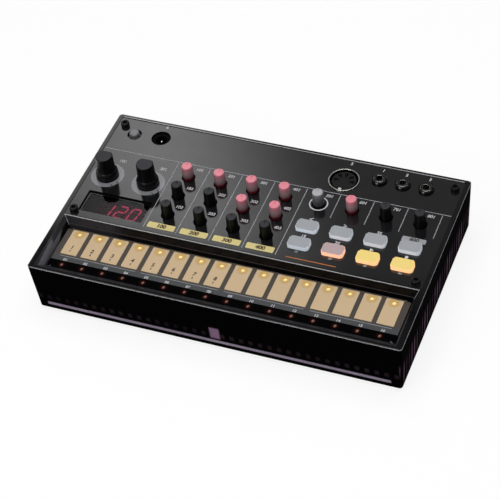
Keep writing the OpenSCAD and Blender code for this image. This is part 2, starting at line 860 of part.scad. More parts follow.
module large_pots() {
    color([0.25, 0.3, 0.36])
    for (k = big_knobs)
        difference() {
            round_block([k[1], k[2]], board_z, board_z + pot_h, big_pot_w, big_pot_w, pot_corner_r);
            rod([k[1], k[2]], board_z + pot_floor, board_z + pot_h + 1, spindle_d + 2 * turn_gap);
        }
}

// ---- buttons ----

module panel_button(b) {
    top_z = panel_z + button_h;
    roofed_block([b[1], b[2]], flange_z + 0.1, top_z, button_w, button_d, button_r,
        button_slope, button_front_slope, button_crown);
    round_block([b[1], b[2]], flange_z, flange_z + flange_t, button_w + 2 * button_flange,
        button_d + 2 * button_flange, button_r);
    rod([b[1], b[2]], plunger_z, flange_z + eps, plunger_d);
}

module button_switches() {
    color([0.3, 0.3, 0.32])
    for (b = buttons)
        difference() {
            round_block([b[1], b[2]], board_z, switch_z, switch_w, switch_w, 0.4);
            rod([b[1], b[2]], board_z + 0.6, switch_z + 1, plunger_d + 2 * turn_gap);
        }
}

module power_button() {
    color([0.4, 0.4, 0.42]) {
        rod(power_xy, flange_z + eps, panel_z + power_h - 0.5, power_d);
        translate([power_xy[0], power_xy[1], panel_z + power_h - 0.5])
            cylinder(d1 = power_d, d2 = power_d - 1, h = 0.5);
        rod(power_xy, flange_z - 0.2, flange_z + flange_t - 0.2, power_hole_d + 1);
        rod(power_xy, board_z + 1.9, flange_z, plunger_d);
    }
}

module power_switch() {
    color([0.3, 0.3, 0.32])
    difference() {
        round_block(power_xy, board_z, switch_z, switch_w + 2, switch_w + 2, 0.4);
        rod(power_xy, board_z + 0.6, switch_z + 1, plunger_d + 2 * turn_gap);
    }
}

// ---- sockets ----

module jack(j) {
    color([0.07, 0.07, 0.07])
    difference() {
        union() {
            round_block([j[1], j[2]], jack_low_z, panel_under_z, jack_body_w, jack_body_w, 0.5);
            rod([j[1], j[2]], panel_under_z - eps, jack_top_z, jack_thread_d);
        }
        rod([j[1], j[2]], jack_top_z - jack_depth, jack_top_z + 1, jack_bore_d);
    }
}

module jack_nuts() {
    color([0.1, 0.1, 0.1])
    for (j = jacks)
        difference() {
            union() {
                rod([j[1], j[2]], panel_z, panel_z + nut_t - 0.4, nut_d);
                translate([j[1], j[2], panel_z + nut_t - 0.4])
                    cylinder(d1 = nut_d, d2 = nut_d - 0.8, h = 0.4);
            }
            rod([j[1], j[2]], panel_z - 1, panel_z + nut_t + 1, jack_thread_d + 2 * thread_gap);
            // The slot for a nut driver
            translate([j[1], j[2], panel_z + nut_t])
                cube([nut_d + 1, 0.8, 1], center = true);
        }
}

module din_socket() {
    color([0.06, 0.06, 0.06])
    difference() {
        union() {
            difference() {
                round_block(din_xy, din_low_z, panel_under_z, din_body_w, din_body_w, 0.6);
                rod(din_xy, din_floor_z, panel_under_z + 1, din_d + 2 * case_fit);
            }
            rod(din_xy, din_floor_z - eps, din_core_z, din_core_d);
        }
        for (a = [0:45:180])
            rod([din_xy[0] + din_pin_r * cos(a), din_xy[1] + din_pin_r * sin(a)],
                din_low_z - 1, din_core_z + 1, din_pin_d + 2 * thread_gap);
        // The key way in the core
        translate([din_xy[0] - din_key_w / 2 - 0.2, din_xy[1] - din_core_d / 2 - 1, din_floor_z])
            cube([din_key_w + 0.4, 2, din_core_z]);
    }
}

module din_ring() {
    color([0.8, 0.8, 0.8])
    union() {
        difference() {
            rod(din_xy, din_floor_z, din_top_z, din_d);
            rod(din_xy, din_floor_z - 1, din_top_z + 1, din_d - 2 * din_shell_t);
        }
        // The pressed key
        translate([din_xy[0] - din_key_w / 2, din_xy[1] - din_d / 2 + din_shell_t / 2, din_floor_z])
            cube([din_key_w, 1.2, din_core_z - din_floor_z]);
    }
}

module din_contacts() {
    color([0.85, 0.75, 0.4])
    for (a = [0:45:180])
        rod([din_xy[0] + din_pin_r * cos(a), din_xy[1] + din_pin_r * sin(a)],
            din_low_z - 1.5, din_core_z - 5, din_pin_d);
}

module dc_inlet() {
    color([0.05, 0.05, 0.05])
    difference() {
        union() {
            round_block(inlet_xy, inlet_low_z, panel_under_z, inlet_body_w, inlet_body_w, 0.5);
            rod(inlet_xy, panel_under_z - eps, inlet_top_z, inlet_collar_d);
        }
        rod(inlet_xy, inlet_floor_z, inlet_top_z + 1, inlet_bore_d);
    }
    color([0.8, 0.8, 0.8]) {
        rod(inlet_xy, inlet_floor_z, inlet_top_z - 1.5, inlet_pin_d);
        translate([inlet_xy[0], inlet_xy[1], inlet_top_z - 1.5])
            sphere(d = inlet_pin_d);
    }
}

// ---- touch strip ----

module led_holes(z0, z1) {
    for (x = pad_x) {
        rod([x, step_led_y], z0, z1, led_d + 2 * led_gap);
        rod([x, part_led_y], z0, z1, led_d + 2 * led_gap);
    }
}

module touch_plate() {
    mid = (plate_front + plate_back) / 2;
    color([0.2, 0.2, 0.22])
    difference() {
        roofed_block([0, mid], plate_under_z, plate_z, 2 * plate_half_w, plate_d, 1,
            plate_bevel_x, plate_bevel_y, plate_bevel_h);
        led_holes(plate_under_z - 1, plate_z + 1);
    }
}

module step_pads() {
    color([0.79, 0.71, 0.57])
    for (x = pad_x)
        difference() {
            round_block([x, pad_y], plate_z, plate_z + pad_t, pad_w, pad_d, 0.4);
            rod([x, step_led_y], plate_z - 1, plate_z + 1, led_d + 2 * led_gap);
        }
}

// A light guide with a domed end
module light(x, y, top_z) {
    rod([x, y], plate_under_z, top_z - 0.4, led_d);
    translate([x, y, top_z - 0.4])
        cylinder(d1 = led_d, d2 = led_d - 0.8, h = 0.4);
}

module step_leds() {
    color([1, 0.85, 0.4])
    for (x = pad_x)
        light(x, step_led_y, plate_z + pad_t);
}

module part_leds() {
    color([0.75, 0.2, 0.15])
    for (x = pad_x)
        light(x, part_led_y, plate_z + 0.2);
}

module touch_board() {
    color([0.1, 0.3, 0.18])
    box(-hatch_x + part_gap, hatch_x - part_gap, hatch_front + part_gap, hatch_back - part_gap,
        plate_under_z - touch_board_t, plate_under_z);
}

// ---- main board ----

module main_board() {
    edge_x = boss_x - boss_d / 2 - 0.6;
    front = pocket_back + shelf_t + 0.5;
    back = panel_back - panel_ledge_w;
    color([0.1, 0.32, 0.2])
    difference() {
        box(-edge_x, edge_x, front, back, board_under_z, board_z);
        translate([0, 0, board_under_z - 1])
            linear_extrude(board_t + 2) {
                translate(din_xy)
                    square(din_body_w + 2 * part_gap, center = true);
                translate(inlet_xy)
                    square(inlet_body_w + 2 * part_gap, center = true);
                for (j = jacks)
                    translate([j[1], j[2]])
                        square(jack_body_w + 2 * part_gap, center = true);
            }
    }
}

// The flat strip from the main board to the touch board, run along X
module flat_strip() {
    strip_w = 24;
    strip_t = 0.3;
    overlap = 4;
    low_y = pocket_back + shelf_t + overlap;
    dip_y = hatch_back - 1;
    high_y = hatch_back - overlap;
    high_z = plate_under_z - touch_board_t;
    along_x(strip_w)
        polygon([[low_y, board_z], [dip_y, board_z], [high_y, high_z - strip_t],
            [high_y - overlap, high_z - strip_t], [high_y - overlap, high_z], [high_y + 0.1, high_z],
            [dip_y + 0.1, board_z + strip_t], [low_y, board_z + strip_t]]);
}

module inner_leads() {
    lead_d = 1.2;
    color([0.75, 0.75, 0.72])
    flat_strip();
    // Leads from the speaker and the batteries up to the main board
    color([0.6, 0.1, 0.1]) {
        for (s = [-1, 1])
            rod([speaker_x + s * 1.4, speaker_y + terminal_x], basket_z, board_under_z, lead_d);
        for (s = [2, 3])
            rod([bay_x + bay_l - 4 * s, bay_y + bay_w - 6], bay_top_z, board_under_z, lead_d);
    }
}

// ---- batteries and speaker ----

module battery_cells() {
    color([0.55, 0.55, 0.5])
    for (row = [0:2])
        for (i = [0, 1]) {
            // From the bay's end to this cell's flat end
            reach = contact_t + spring_l + i * cell_l;
            translate([row % 2 == 0 ? bay_x + reach : bay_x + bay_l - reach,
                bay_y + bay_w / 2 + (row - 1) * cell_pitch, cell_z])
                rotate([0, row % 2 == 0 ? 90 : -90, 0])
                    rotate_extrude()
                        polygon([[0, 0.1], [cell_d / 2 - 0.5, 0.1], [cell_d / 2, 0.6],
                            [cell_d / 2, cell_l - 1.5], [cell_d / 2 - 0.5, cell_l - 1],
                            [cell_nub_r, cell_l - 1], [cell_nub_r, cell_l], [0, cell_l]]);
        }
}

module battery_contacts() {
    color([0.8, 0.8, 0.78])
    for (row = [0:2])
        for (end = [0, 1]) {
            x = end == 0 ? bay_x : bay_x + bay_l - contact_t;
            y = bay_y + bay_w / 2 + (row - 1) * cell_pitch;
            box(x, x + contact_t, y - contact_half, y + contact_half,
                cell_z - contact_half, cell_z + contact_half);
            // The spring stands at the flat end of each pair
            if (end == row % 2)
                translate([end == 0 ? bay_x + contact_t : bay_x + bay_l - contact_t, y, cell_z])
                    rotate([0, end == 0 ? 90 : -90, 0])
                        difference() {
                            cylinder(d1 = spring_d + 2, d2 = spring_d, h = spring_l);
                            translate([0, 0, -1])
                                cylinder(d = spring_d - 1.6, h = spring_l + 2);
                        }
        }
}

module speaker_frame() {
    color([0.35, 0.35, 0.36])
    translate([speaker_x, speaker_y, 0]) {
        rotate_extrude()
            polygon([[speaker_d / 2 - speaker_flange_w, base_z], [speaker_d / 2, base_z],
                [speaker_d / 2, base_z + speaker_flange_t],
                [speaker_d / 2 - 1.2, base_z + speaker_flange_t],
                [magnet_d / 2 + 1, basket_z], [0, basket_z], [0, basket_z - 0.8],
                [magnet_d / 2 + 0.4, basket_z - 0.8],
                [speaker_d / 2 - speaker_flange_w, base_z + speaker_flange_t]]);
        translate([0, 0, basket_z])
            cylinder(d = magnet_d, h = magnet_t);
        // The terminal strip on the basket's back
        translate([-3, terminal_x - 1.5, basket_z - 3.2])
            cube([6, 3, 3.2]);
    }
}

module speaker_cone() {
    color([0.1, 0.1, 0.1])
    translate([speaker_x, speaker_y, 0])
        rotate_extrude()
            polygon([[0, base_z + 2.4], [4, base_z + 1.6], [5, base_z + 3.4],
                [speaker_d / 2 - 4.2, base_z + 0.8],
                [speaker_d / 2 - 3.4, base_z + 1.2], [speaker_d / 2 - 2.6, base_z + 0.3],
                [speaker_d / 2 - 2.6, base_z + 0.8], [speaker_d / 2 - 3.4, base_z + 1.7],
                [speaker_d / 2 - 4.2, base_z + 1.3],
                [5, base_z + 3.9], [4, base_z + 2.1], [0, base_z + 2.9]]);
}

// ---- the nodes ----

red = [0.82, 0.5, 0.52];
black = [0.07, 0.07, 0.07];
clear = [0.6, 0.6, 0.62];
grey = [0.63, 0.64, 0.66];
lit = [0.93, 0.83, 0.5];
glow = [0.93, 0.72, 0.6];
// The colour of each small knob and each button, in the order of their lists
knob_colors = [red, black, black, red, black, black, red, red, black, red, red, black,
    clear, red, black, black];
button_colors = [grey, grey, glow, grey, lit, grey, lit, grey];

upper_case();
control_panel();
panel_screws();
touch_plate();
step_pads();
touch_board();
step_leds();
part_leds();
main_board();
display_window();
display_module();
display_segments();
power_switch();
din_socket();
din_ring();
din_contacts();
for (j = jacks)
    jack(j);
jack_nuts();
dc_inlet();
small_pots();
large_pots();
button_switches();
lower_case();
battery_cells();
battery_contacts();
speaker_frame();
speaker_cone();
feet();
case_screws();
inner_leads();
battery_cover();
power_button();
for (k = big_knobs)
    color(black) big_knob(k);
for (i = [0:len(small_knobs) - 1])
    color(knob_colors[i]) small_knob(small_knobs[i]);
for (i = [0:len(buttons) - 1])
    color(button_colors[i]) panel_button(buttons[i]);
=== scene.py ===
"""The looks of a compact desktop drum machine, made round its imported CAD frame.

Laid out as a Blender add-on, with one operator for each group of pieces, and run as a script.
"""

import json
import math

import bmesh
import bpy
from mathutils import Matrix, Vector

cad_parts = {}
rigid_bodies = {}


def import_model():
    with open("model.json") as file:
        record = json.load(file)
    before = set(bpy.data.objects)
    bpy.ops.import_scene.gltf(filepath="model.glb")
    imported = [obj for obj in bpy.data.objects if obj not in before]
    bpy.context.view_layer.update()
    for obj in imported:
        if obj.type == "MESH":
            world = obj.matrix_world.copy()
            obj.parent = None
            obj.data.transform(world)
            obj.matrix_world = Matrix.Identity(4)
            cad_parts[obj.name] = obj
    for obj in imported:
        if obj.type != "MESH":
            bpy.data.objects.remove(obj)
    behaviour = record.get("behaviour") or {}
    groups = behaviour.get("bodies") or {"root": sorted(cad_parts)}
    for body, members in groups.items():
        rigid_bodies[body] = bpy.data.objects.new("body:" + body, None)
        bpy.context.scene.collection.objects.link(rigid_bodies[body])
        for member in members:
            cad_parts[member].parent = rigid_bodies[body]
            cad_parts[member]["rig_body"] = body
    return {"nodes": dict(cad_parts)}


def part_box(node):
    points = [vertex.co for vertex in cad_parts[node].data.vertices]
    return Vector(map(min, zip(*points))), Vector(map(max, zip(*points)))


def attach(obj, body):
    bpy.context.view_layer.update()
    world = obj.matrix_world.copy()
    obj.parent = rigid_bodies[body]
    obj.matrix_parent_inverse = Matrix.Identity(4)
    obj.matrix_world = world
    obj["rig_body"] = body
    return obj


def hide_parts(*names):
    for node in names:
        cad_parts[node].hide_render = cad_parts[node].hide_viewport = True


bl_info = {
    "name": "Drum machine looks",
    "version": (1, 0, 0),
    "blender": (4, 5, 0),
    "location": "View3D > Sidebar > Drum machine",
    "description": "Finishes, printed marks, lights and camera for a compact drum machine",
    "category": "Object",
}

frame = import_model()
NODES = frame["nodes"]
MM = 0.001


def linear(hex_colour):
    """An sRGB hex colour as the linear RGBA that Blender's sockets take."""
    srgb = [int(hex_colour[i : i + 2], 16) / 255 for i in (1, 3, 5)]
    return tuple(c / 12.92 if c <= 0.04045 else ((c + 0.055) / 1.055) ** 2.4 for c in srgb) + (1.0,)


# ---- sizes taken from the frame, in millimetres ----


BOXES = {name: [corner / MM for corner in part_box(name)] for name in NODES}


def low(node):
    return BOXES[node][0]


def high(node):
    return BOXES[node][1]


def middle(node):
    return (low(node) + high(node)) / 2


SMALL_KNOBS = [f"column_{c}_{row}_knob" for c in range(1, 5) for row in ("top", "middle", "bottom")]
SMALL_KNOBS += [f"column_{c}_knob" for c in range(5, 9)]
RED_KNOBS = {
    "column_1_top_knob", "column_2_top_knob", "column_3_top_knob", "column_3_middle_knob",
    "column_4_top_knob", "column_4_middle_knob", "column_6_knob",
}
CLEAR_KNOBS = {"column_5_knob"}
BIG_KNOBS = ["volume_knob", "tempo_knob"]
LOWER_BUTTONS = ["memory_button", "step_button", "play_button", "record_button"]
UPPER_BUTTONS = ["part_left_button", "part_right_button", "mute_button", "shift_button"]
JACKS = ["sync_in_jack", "sync_out_jack", "headphone_jack"]

RIM_Z = high("upper_case").z
PANEL_Z = high("control_panel").z
PLATE_Z = high("touch_plate").z
COLUMN_X = [middle(f"column_{c}_top_knob").x for c in range(1, 5)]
COLUMN_X += [middle(f"column_{c}_knob").x for c in range(5, 9)]
COLUMN_PITCH = COLUMN_X[1] - COLUMN_X[0]
ROW_Y = [middle(f"column_1_{row}_knob").y for row in ("top", "middle", "bottom")]
STEPS = 16
LED_D = high("step_leds").y - low("step_leds").y
PAD_PITCH = (high("step_leds").x - low("step_leds").x - LED_D) / (STEPS - 1)
PAD_X = [(i - (STEPS - 1) / 2) * PAD_PITCH for i in range(STEPS)]
STEP_LED_Y = middle("step_leds").y
PART_LED_Y = middle("part_leds").y
# How far each red light's die sits from its pad's middle
RED_ASIDE = -0.4


# ---- settings that a user would change ----


def length(name, description, millimetres):
    return bpy.props.FloatProperty(
        name=name, description=description, default=millimetres * MM, unit="LENGTH", subtype="DISTANCE"
    )


def colour(name, description, hex_colour):
    return bpy.props.FloatVectorProperty(
        name=name, description=description, default=linear(hex_colour), size=4, subtype="COLOR", min=0, max=1
    )


class DrumSizes(bpy.types.PropertyGroup):
    """Sizes of the finishes."""

    edge_break: length("Edge break", "How far a moulded edge is rounded off", 0.22)
    ink: length("Ink", "Thickness of the printed marks", 0.03)
    line: length("Line", "Width of the printed lines", 0.38)
    numeral: length("Numeral", "Height of the small printed numerals", 1.9)
    tempo: bpy.props.IntProperty(
        name="Tempo", description="Number that the display shows", default=120, min=0, max=9999)


class DrumColours(bpy.types.PropertyGroup):
    """Colours of the finishes."""

    pad: colour("Pads", "Printed film of the step pads", "#D9BD96")
    label: colour("Labels", "Printed strips under the knob columns", "#E6D592")
    ink: colour("Ink", "Printed numerals", "#D4D4D8")
    line: colour("Lines", "Printed lines", "#A4A5AA")
    accent: colour("Accent", "Printed accent line", "#D27A3A")
    button: colour("Buttons", "Silicone of the panel buttons", "#A9ACB1")
    lit_button: colour("Lit buttons", "Silicone with its light on", "#E8CE7A")
    digits: colour("Digits", "Lit segments of the display", "#FF5A80")


def sizes():
    return bpy.context.scene.drum_sizes


def chosen_colour(name):
    """A colour from the settings."""
    return tuple(getattr(bpy.context.scene.drum_colours, name))


# ---- meshes ----


def mm(*values):
    """A place in metres from one in millimetres."""
    return Vector(values) * MM


def placed(name, data):
    """A new object in the scene."""
    piece = bpy.data.objects.new(name, data)
    bpy.context.scene.collection.objects.link(piece)
    return piece


def mesh_of(name, bm):
    """A mesh for an object, out of a working mesh, which ends here."""
    mesh = bpy.data.meshes.new(name)
    bm.to_mesh(mesh)
    bm.free()
    return mesh


def finished(name, bm, surfaces, body="case", replaces=(), smooth=32):
    """Makes a piece of a mesh, smooth up to an angle in degrees, and lets it ride on a body."""
    mesh = mesh_of(name, bm)
    for surface in surfaces:
        mesh.materials.append(surface)
    mesh.shade_smooth()
    mesh.set_sharp_from_angle(angle=math.radians(smooth))
    piece = placed(name, mesh)
    flat_faces = piece.modifiers.new("flat faces stay flat", "WEIGHTED_NORMAL")
    flat_faces.keep_sharp = True
    flat_faces.weight = 100
    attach(piece, body)
    if replaces:
        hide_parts(*replaces)


def node_mesh(node):
    """A welded copy of a CAD node's mesh, with its flat faces joined again."""
    weld = 2e-6
    flat = math.radians(0.5)
    bm = bmesh.new()
    bm.from_mesh(NODES[node].data)
    bmesh.ops.remove_doubles(bm, verts=bm.verts[:], dist=weld)
    bmesh.ops.dissolve_limit(bm, angle_limit=flat, verts=bm.verts[:], edges=bm.edges[:])
    for face in bm.faces:
        face.material_index = 0
    return bm


def break_edges(bm, width, chosen=lambda edge: True, segments=2, angle=30, index=-1):
    """Rounds the outer edges that are sharper than an angle. The new faces take the surface of that index."""
    least = math.radians(angle)
    sharp = [edge for edge in bm.edges
             if len(edge.link_faces) == 2 and edge.calc_face_angle_signed(0) > least and chosen(edge)]
    bmesh.ops.bevel(
        bm, geom=sharp, offset=width, offset_type="OFFSET", segments=segments, profile=0.5,
        affect="EDGES", clamp_overlap=True, material=index,
    )


def edge_middle(edge):
    return (edge.verts[0].co + edge.verts[1].co) / 2 / MM


def over(z):
    """Chooses the edges whose middle is over a height in millimetres."""
    return lambda edge: edge_middle(edge).z > z


def under(z):
    """Chooses the edges whose middle is under a height in millimetres."""
    return lambda edge: edge_middle(edge).z < z


def within(centre, reach):
    """The index 1 for the faces within a reach of an upright axis in millimetres, and else 0."""
    return lambda face: int(all((corner.co.xy / MM - centre).length < reach for corner in face.verts))


def dressed(node, surfaces, width=None, chosen=lambda edge: True, segments=2, index=-1,
            rule=None, smooth=32, cut=None):
    """Stands for a CAD node: the same shape with its edges rounded and its faces finished."""
    bm = node_mesh(node)
    break_edges(bm, sizes().edge_break if width is None else width * MM, chosen, segments, index=index)
    if cut:
        everything = bm.verts[:] + bm.edges[:] + bm.faces[:]
        bmesh.ops.bisect_plane(bm, geom=everything, plane_co=cut[0], plane_no=cut[1])
    bm.normal_update()
    if rule:
        for face in bm.faces:
            if face.material_index == 0:
                face.material_index = rule(face)
    finished(node + "_finished", bm, surfaces, NODES[node]["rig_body"], [node], smooth)


def corners(bm, points):
    """New corners of a mesh at points in millimetres."""
    return [bm.verts.new(mm(*point)) for point in points]


def solid(bm, first, second):
    """A solid between two rows of corners that face each other."""
    bm.faces.new(first[::-1])
    bm.faces.new(second)
    for i, corner in enumerate(first):
        j = (i + 1) % len(first)
        bm.faces.new((corner, first[j], second[j], second[i]))


def prism(bm, outline, z0, z1):
    """An upright solid over an outline, in millimetres."""
    solid(bm, *(corners(bm, [(x, y, z) for x, y in outline]) for z in (z0, z1)))


def spoke(degrees):
    """A step of one at an angle in plan."""
    return Vector((math.cos(math.radians(degrees)), math.sin(math.radians(degrees))))


def ring(bm, centre, inner, outer, z0, z1, sides=64):
    """A flat ring, in millimetres."""
    rows = []
    for i in range(sides):
        outwards = spoke(360 * i / sides)
        rows.append(corners(bm, [(*(centre.xy + r * outwards), z) for r, z in (
            (inner, z0), (outer, z0), (outer, z1), (inner, z1))]))
    for i, row in enumerate(rows):
        following = rows[(i + 1) % sides]
        for k in range(4):
            bm.faces.new((row[k], following[k], following[(k + 1) % 4], row[(k + 1) % 4]))


def bar(start, end, width):
    """The outline of a straight bar between two points."""
    along = Vector((end[0] - start[0], end[1] - start[1])).normalized() * width / 2
    across = Vector((-along.y, along.x))
    a, b = Vector(start), Vector(end)
    return [a - across, b - across, b + across, a + across]


def rod(bm, start, end, width):
    """A thin square bar between two points in millimetres, at any slant."""
    a, b = Vector(start), Vector(end)
    along = (b - a).normalized()
    aside = Vector((0, 0, 1)) if abs(along.z) < 0.9 else Vector((1, 0, 0))
    side = along.cross(aside).normalized() * width / 2
    up = side.cross(along)
    solid(bm, *(corners(bm, [at + p for p in (-side - up, side - up, side + up, up - side)]) for at in (a, b)))


def rounded_outline(centre, width, depth, radius, steps=5):
    """The outline of a rectangle with round corners."""
    points = []
    for quarter, (sx, sy) in enumerate(((1, 1), (-1, 1), (-1, -1), (1, -1))):
        cx = centre[0] + sx * (width / 2 - radius)
        cy = centre[1] + sy * (depth / 2 - radius)
        for i in range(steps + 1):
            a = math.tau * (quarter + i / steps) / 4
            points.append((cx + radius * math.cos(a), cy + radius * math.sin(a)))
    return points


def numerals(bm, text, height, centre, z0, z1, weight=0.035):
    """Adds plain slanted numerals, centred on a point, to a mesh of printed marks."""
    capital_share = 0.73
    slant = 0.12
    curve = bpy.data.curves.new("numerals", "FONT")
    curve.body = text
    curve.size = height / capital_share * MM
    curve.align_x = "CENTER"
    curve.align_y = "CENTER"
    curve.shear = slant
    curve.resolution_u = 3
    curve.offset = weight * height * MM
    curve.extrude = (z1 - z0) / 2 * MM
    holder = bpy.data.objects.new("numerals", curve)
    mesh = bpy.data.meshes.new_from_object(holder)
    mesh.transform(Matrix.Translation(mm(centre[0], centre[1], (z0 + z1) / 2)))
    bm.from_mesh(mesh)
    bpy.data.objects.remove(holder)
    bpy.data.curves.remove(curve)
    bpy.data.meshes.remove(mesh)


# ---- materials ----

MADE = {}


def finish(make):
    """Makes a material once, under its function's name."""

    def made():
        name = make.__name__
        if name not in MADE:
            MADE[name] = bpy.data.materials.new(name)
            MADE[name].use_nodes = True
            make(Look(MADE[name].node_tree))
        return MADE[name]

    return made


class Look:
    """A material's node tree and its principled surface, with one method for each thing that is built often."""

    def __init__(self, tree):
        self.tree = tree
        self.principled = tree.nodes.get("Principled BSDF")

    def inputs(self, node, inputs):
        """Sets a node's inputs, each to a value, an sRGB hex colour or a socket to link."""
        for key, value in inputs.items():
            if isinstance(value, bpy.types.NodeSocket):
                self.tree.links.new(value, node.inputs[key])
            else:
                node.inputs[key].default_value = linear(value) if isinstance(value, str) else value

    def paint(self, **inputs):
        """Sets the principled surface's inputs, written with _ for a space."""
        self.inputs(self.principled, {key.replace("_", " "): value for key, value in inputs.items()})

    def add(self, kind, settings=(), inputs=()):
        """Adds one shader node with its properties and its inputs."""
        node = self.tree.nodes.new("ShaderNode" + kind)
        for key, value in dict(settings).items():
            setattr(node, key, value)
        self.inputs(node, dict(inputs))
        return node

    def maths(self, operation, *values):
        return self.add("Math", {"operation": operation}, dict(enumerate(values))).outputs["Value"]

    def vectors(self, operation, *values, output="Vector"):
        return self.add("VectorMath", {"operation": operation}, dict(enumerate(values))).outputs[output]

    def span(self, value, start, end, first=0.0, last=1.0, kind="LINEAR"):
        """Carries a value from one range over to another, and holds it at the ends."""
        return self.add("MapRange", {"interpolation_type": kind}, {
            "Value": value, "From Min": start, "From Max": end,
            "To Min": first, "To Max": last}).outputs["Result"]

    def mixed(self, share, first, second):
        """A colour that goes from one to another as the share goes from 0 to 1."""
        both = {"Factor": share, "A": first, "B": second}
        return self.add("Mix", {"data_type": "RGBA"}, both).outputs["Result"]

    def ramp(self, share, stops, interpolation="LINEAR"):
        """Several colours, each at its place between 0 and 1."""
        node = self.add("ValToRGB", inputs={"Fac": share})
        node.color_ramp.interpolation = interpolation
        elements = node.color_ramp.elements
        for i, (at, shown) in enumerate(stops):
            element = elements[i] if i < 2 else elements.new(at)
            element.position = at
            element.color = linear(shown)
        return node.outputs["Color"]

    def point(self):
        """A point of the object, in metres."""
        return self.add("TexCoord").outputs["Object"]

    def axes(self):
        """The point's X, Y and Z, in metres."""
        return self.add("SeparateXYZ", inputs={"Vector": self.point()}).outputs

    def facing(self):
        """The X, Y and Z of the direction that the surface faces."""
        return self.add("SeparateXYZ", inputs={"Vector": self.add("NewGeometry").outputs["Normal"]}).outputs

    def along(self, axis, stops):
        """Colours by the place along an axis, in millimetres."""
        start, end = stops[0][0], stops[-1][0]
        share = self.span(self.axes()[axis], start * MM, end * MM)
        return self.ramp(share, [((at - start) / (end - start), shown) for at, shown in stops])

    def noise(self, size, detail):
        """Even noise of a size in millimetres."""
        return self.add("TexNoise", inputs={
            "Vector": self.point(), "Scale": 1 / (size * MM), "Detail": detail}).outputs["Fac"]

    def grain(self, size, height, rough):
        """Grain of a size and height in millimetres, with the roughness between two values."""
        noise = self.noise(size, 3.0)
        bump = self.add("Bump", inputs={"Height": noise, "Distance": height * MM}).outputs["Normal"]
        self.paint(Normal=bump, Roughness=self.span(noise, 0.3, 0.7, *rough))
        return noise

    def grained(self, size, height, rough, first, second, **inputs):
        """Grain, with a colour that wanders between two as the grain rises and falls."""
        self.paint(Base_Color=self.mixed(self.grain(size, height, rough), first, second), **inputs)


def shade(base, factor):
    return tuple(c * factor for c in base[:3]) + (1.0,)


@finish
def smoked_polycarbonate_wall(look):
    """Clear smoked polycarbonate from outside: nearly black, with painted light where the real ribs, clips,
    latch and the lower case's lip behind it show faintly through.
    """
    axes = look.axes()
    foot = low("upper_case").z
    lip_low, lip_high, lip_half = foot + 2.7, foot + 4.6, 90.0
    clip_pitch, clip_half = 4.9, 1.1
    streak_pitch, streak_half = 4.1, 0.5
    group_pitch, group_half, least = 19.0, 5.0, 0.2
    latch_left, latch_right = -1.5, 3.5
    wall = 2.0

    def times(first, *others):
        for other in others:
            first = look.maths("MULTIPLY", first, other)
        return first

    def between(value, start, end, soft):
        """1 between two places in millimetres, with soft ends."""
        up = look.span(value, (start - soft) * MM, (start + soft) * MM, kind="SMOOTHSTEP")
        return times(up, look.span(value, (end - soft) * MM, (end + soft) * MM, 1.0, 0.0, "SMOOTHSTEP"))

    def stripes(axis, pitch, half, soft):
        """Upright stripes at a pitch along one wall."""
        return between(look.maths("WRAP", axes[axis], pitch / 2 * MM, -pitch / 2 * MM), -half, half, soft)

    def level(start, end, soft):
        """A level band, with its ends over the lip's top."""
        return between(axes["Z"], lip_high + start, lip_high + end, soft)

    front = look.maths("LESS_THAN", axes["Y"], (low("upper_case").y + wall) * MM)
    side = look.maths("GREATER_THAN", look.maths("ABSOLUTE", axes["X"]), (high("upper_case").x - wall) * MM)
    blotch = look.noise(30, 1.0)
    lip = times(level(lip_low - lip_high, 0, 0.35), between(axes["X"], -lip_half, lip_half, 0.5), front)
    clips = times(stripes("X", clip_pitch, clip_half, 0.5), level(2.4, 5.2, 0.8), blotch, front)
    groups = look.maths("MULTIPLY_ADD", stripes("Y", group_pitch, group_half, 3.0), 1 - least, least)
    streaks = times(stripes("Y", streak_pitch, streak_half, 0.6), level(-2.0, 11.0, 3.0), groups, side)
    latch = times(between(axes["X"], latch_left, latch_right, 0.6), level(1.4, 9.0, 0.8), front)
    # Painted light: the lip, clips, latch and ribs behind the wall show as pale marks, as if light came through
    # the smoked shell.
    shown = "#030304"
    lip_light = look.mixed(blotch, "#8C7F92", "#A99CAE")
    for share, there in ((clips, "#33272F"), (streaks, "#7A5C72"), (latch, "#8A6C86"), (lip, lip_light)):
        shown = look.mixed(share, shown, there)
    look.paint(Base_Color=shown, Roughness=0.5, Specular_IOR_Level=0.0,
               Coat_Weight=0.006, Coat_Roughness=0.05)


@finish
def smoked_polycarbonate_rim(look):
    """The same polycarbonate over its opaque lining: polished, so that it mirrors the studio."""
    look.grained(9.0, 0.0015, (0.05, 0.09), "#0B0B0D", "#101012", IOR=1.44)


@finish
def smoked_polycarbonate_slope(look):
    """The bay's sloping walls, with painted light: a grey painted reflection in front, a painted shadow over
    half of the left one, and a painted reflection at the back fading to the right.
    """
    noise = look.grain(5.0, 0.002, (0.25, 0.32))
    axes = look.axes()
    shadow_slant, shadow_low, shadow_high = -0.4264, 40.4, 41.0
    # Painted shadow on the left slope: dark under a slanted height and lit grey above it; painted reflection on
    # the back slope, fading to the right.
    height = look.maths("MULTIPLY_ADD", axes["Y"], shadow_slant, axes["Z"])
    left = look.mixed(look.span(height, shadow_low * MM, shadow_high * MM), "#0B0B0C", "#606067")
    back = look.along("X", [(-68, "#36363A"), (-60, "#161617"), (0, "#121213"), (40, "#0A0A0B")])
    towards = look.facing()
    shown = look.mixed(noise, "#303034", "#3A3A40")
    for axis, sign, there in (("X", 1, left), ("Y", -1, back)):
        share = look.maths("GREATER_THAN", look.maths("MULTIPLY", towards[axis], sign), 0.5)
        shown = look.mixed(share, shown, there)
    look.paint(Base_Color=shown, Specular_IOR_Level=0.12)


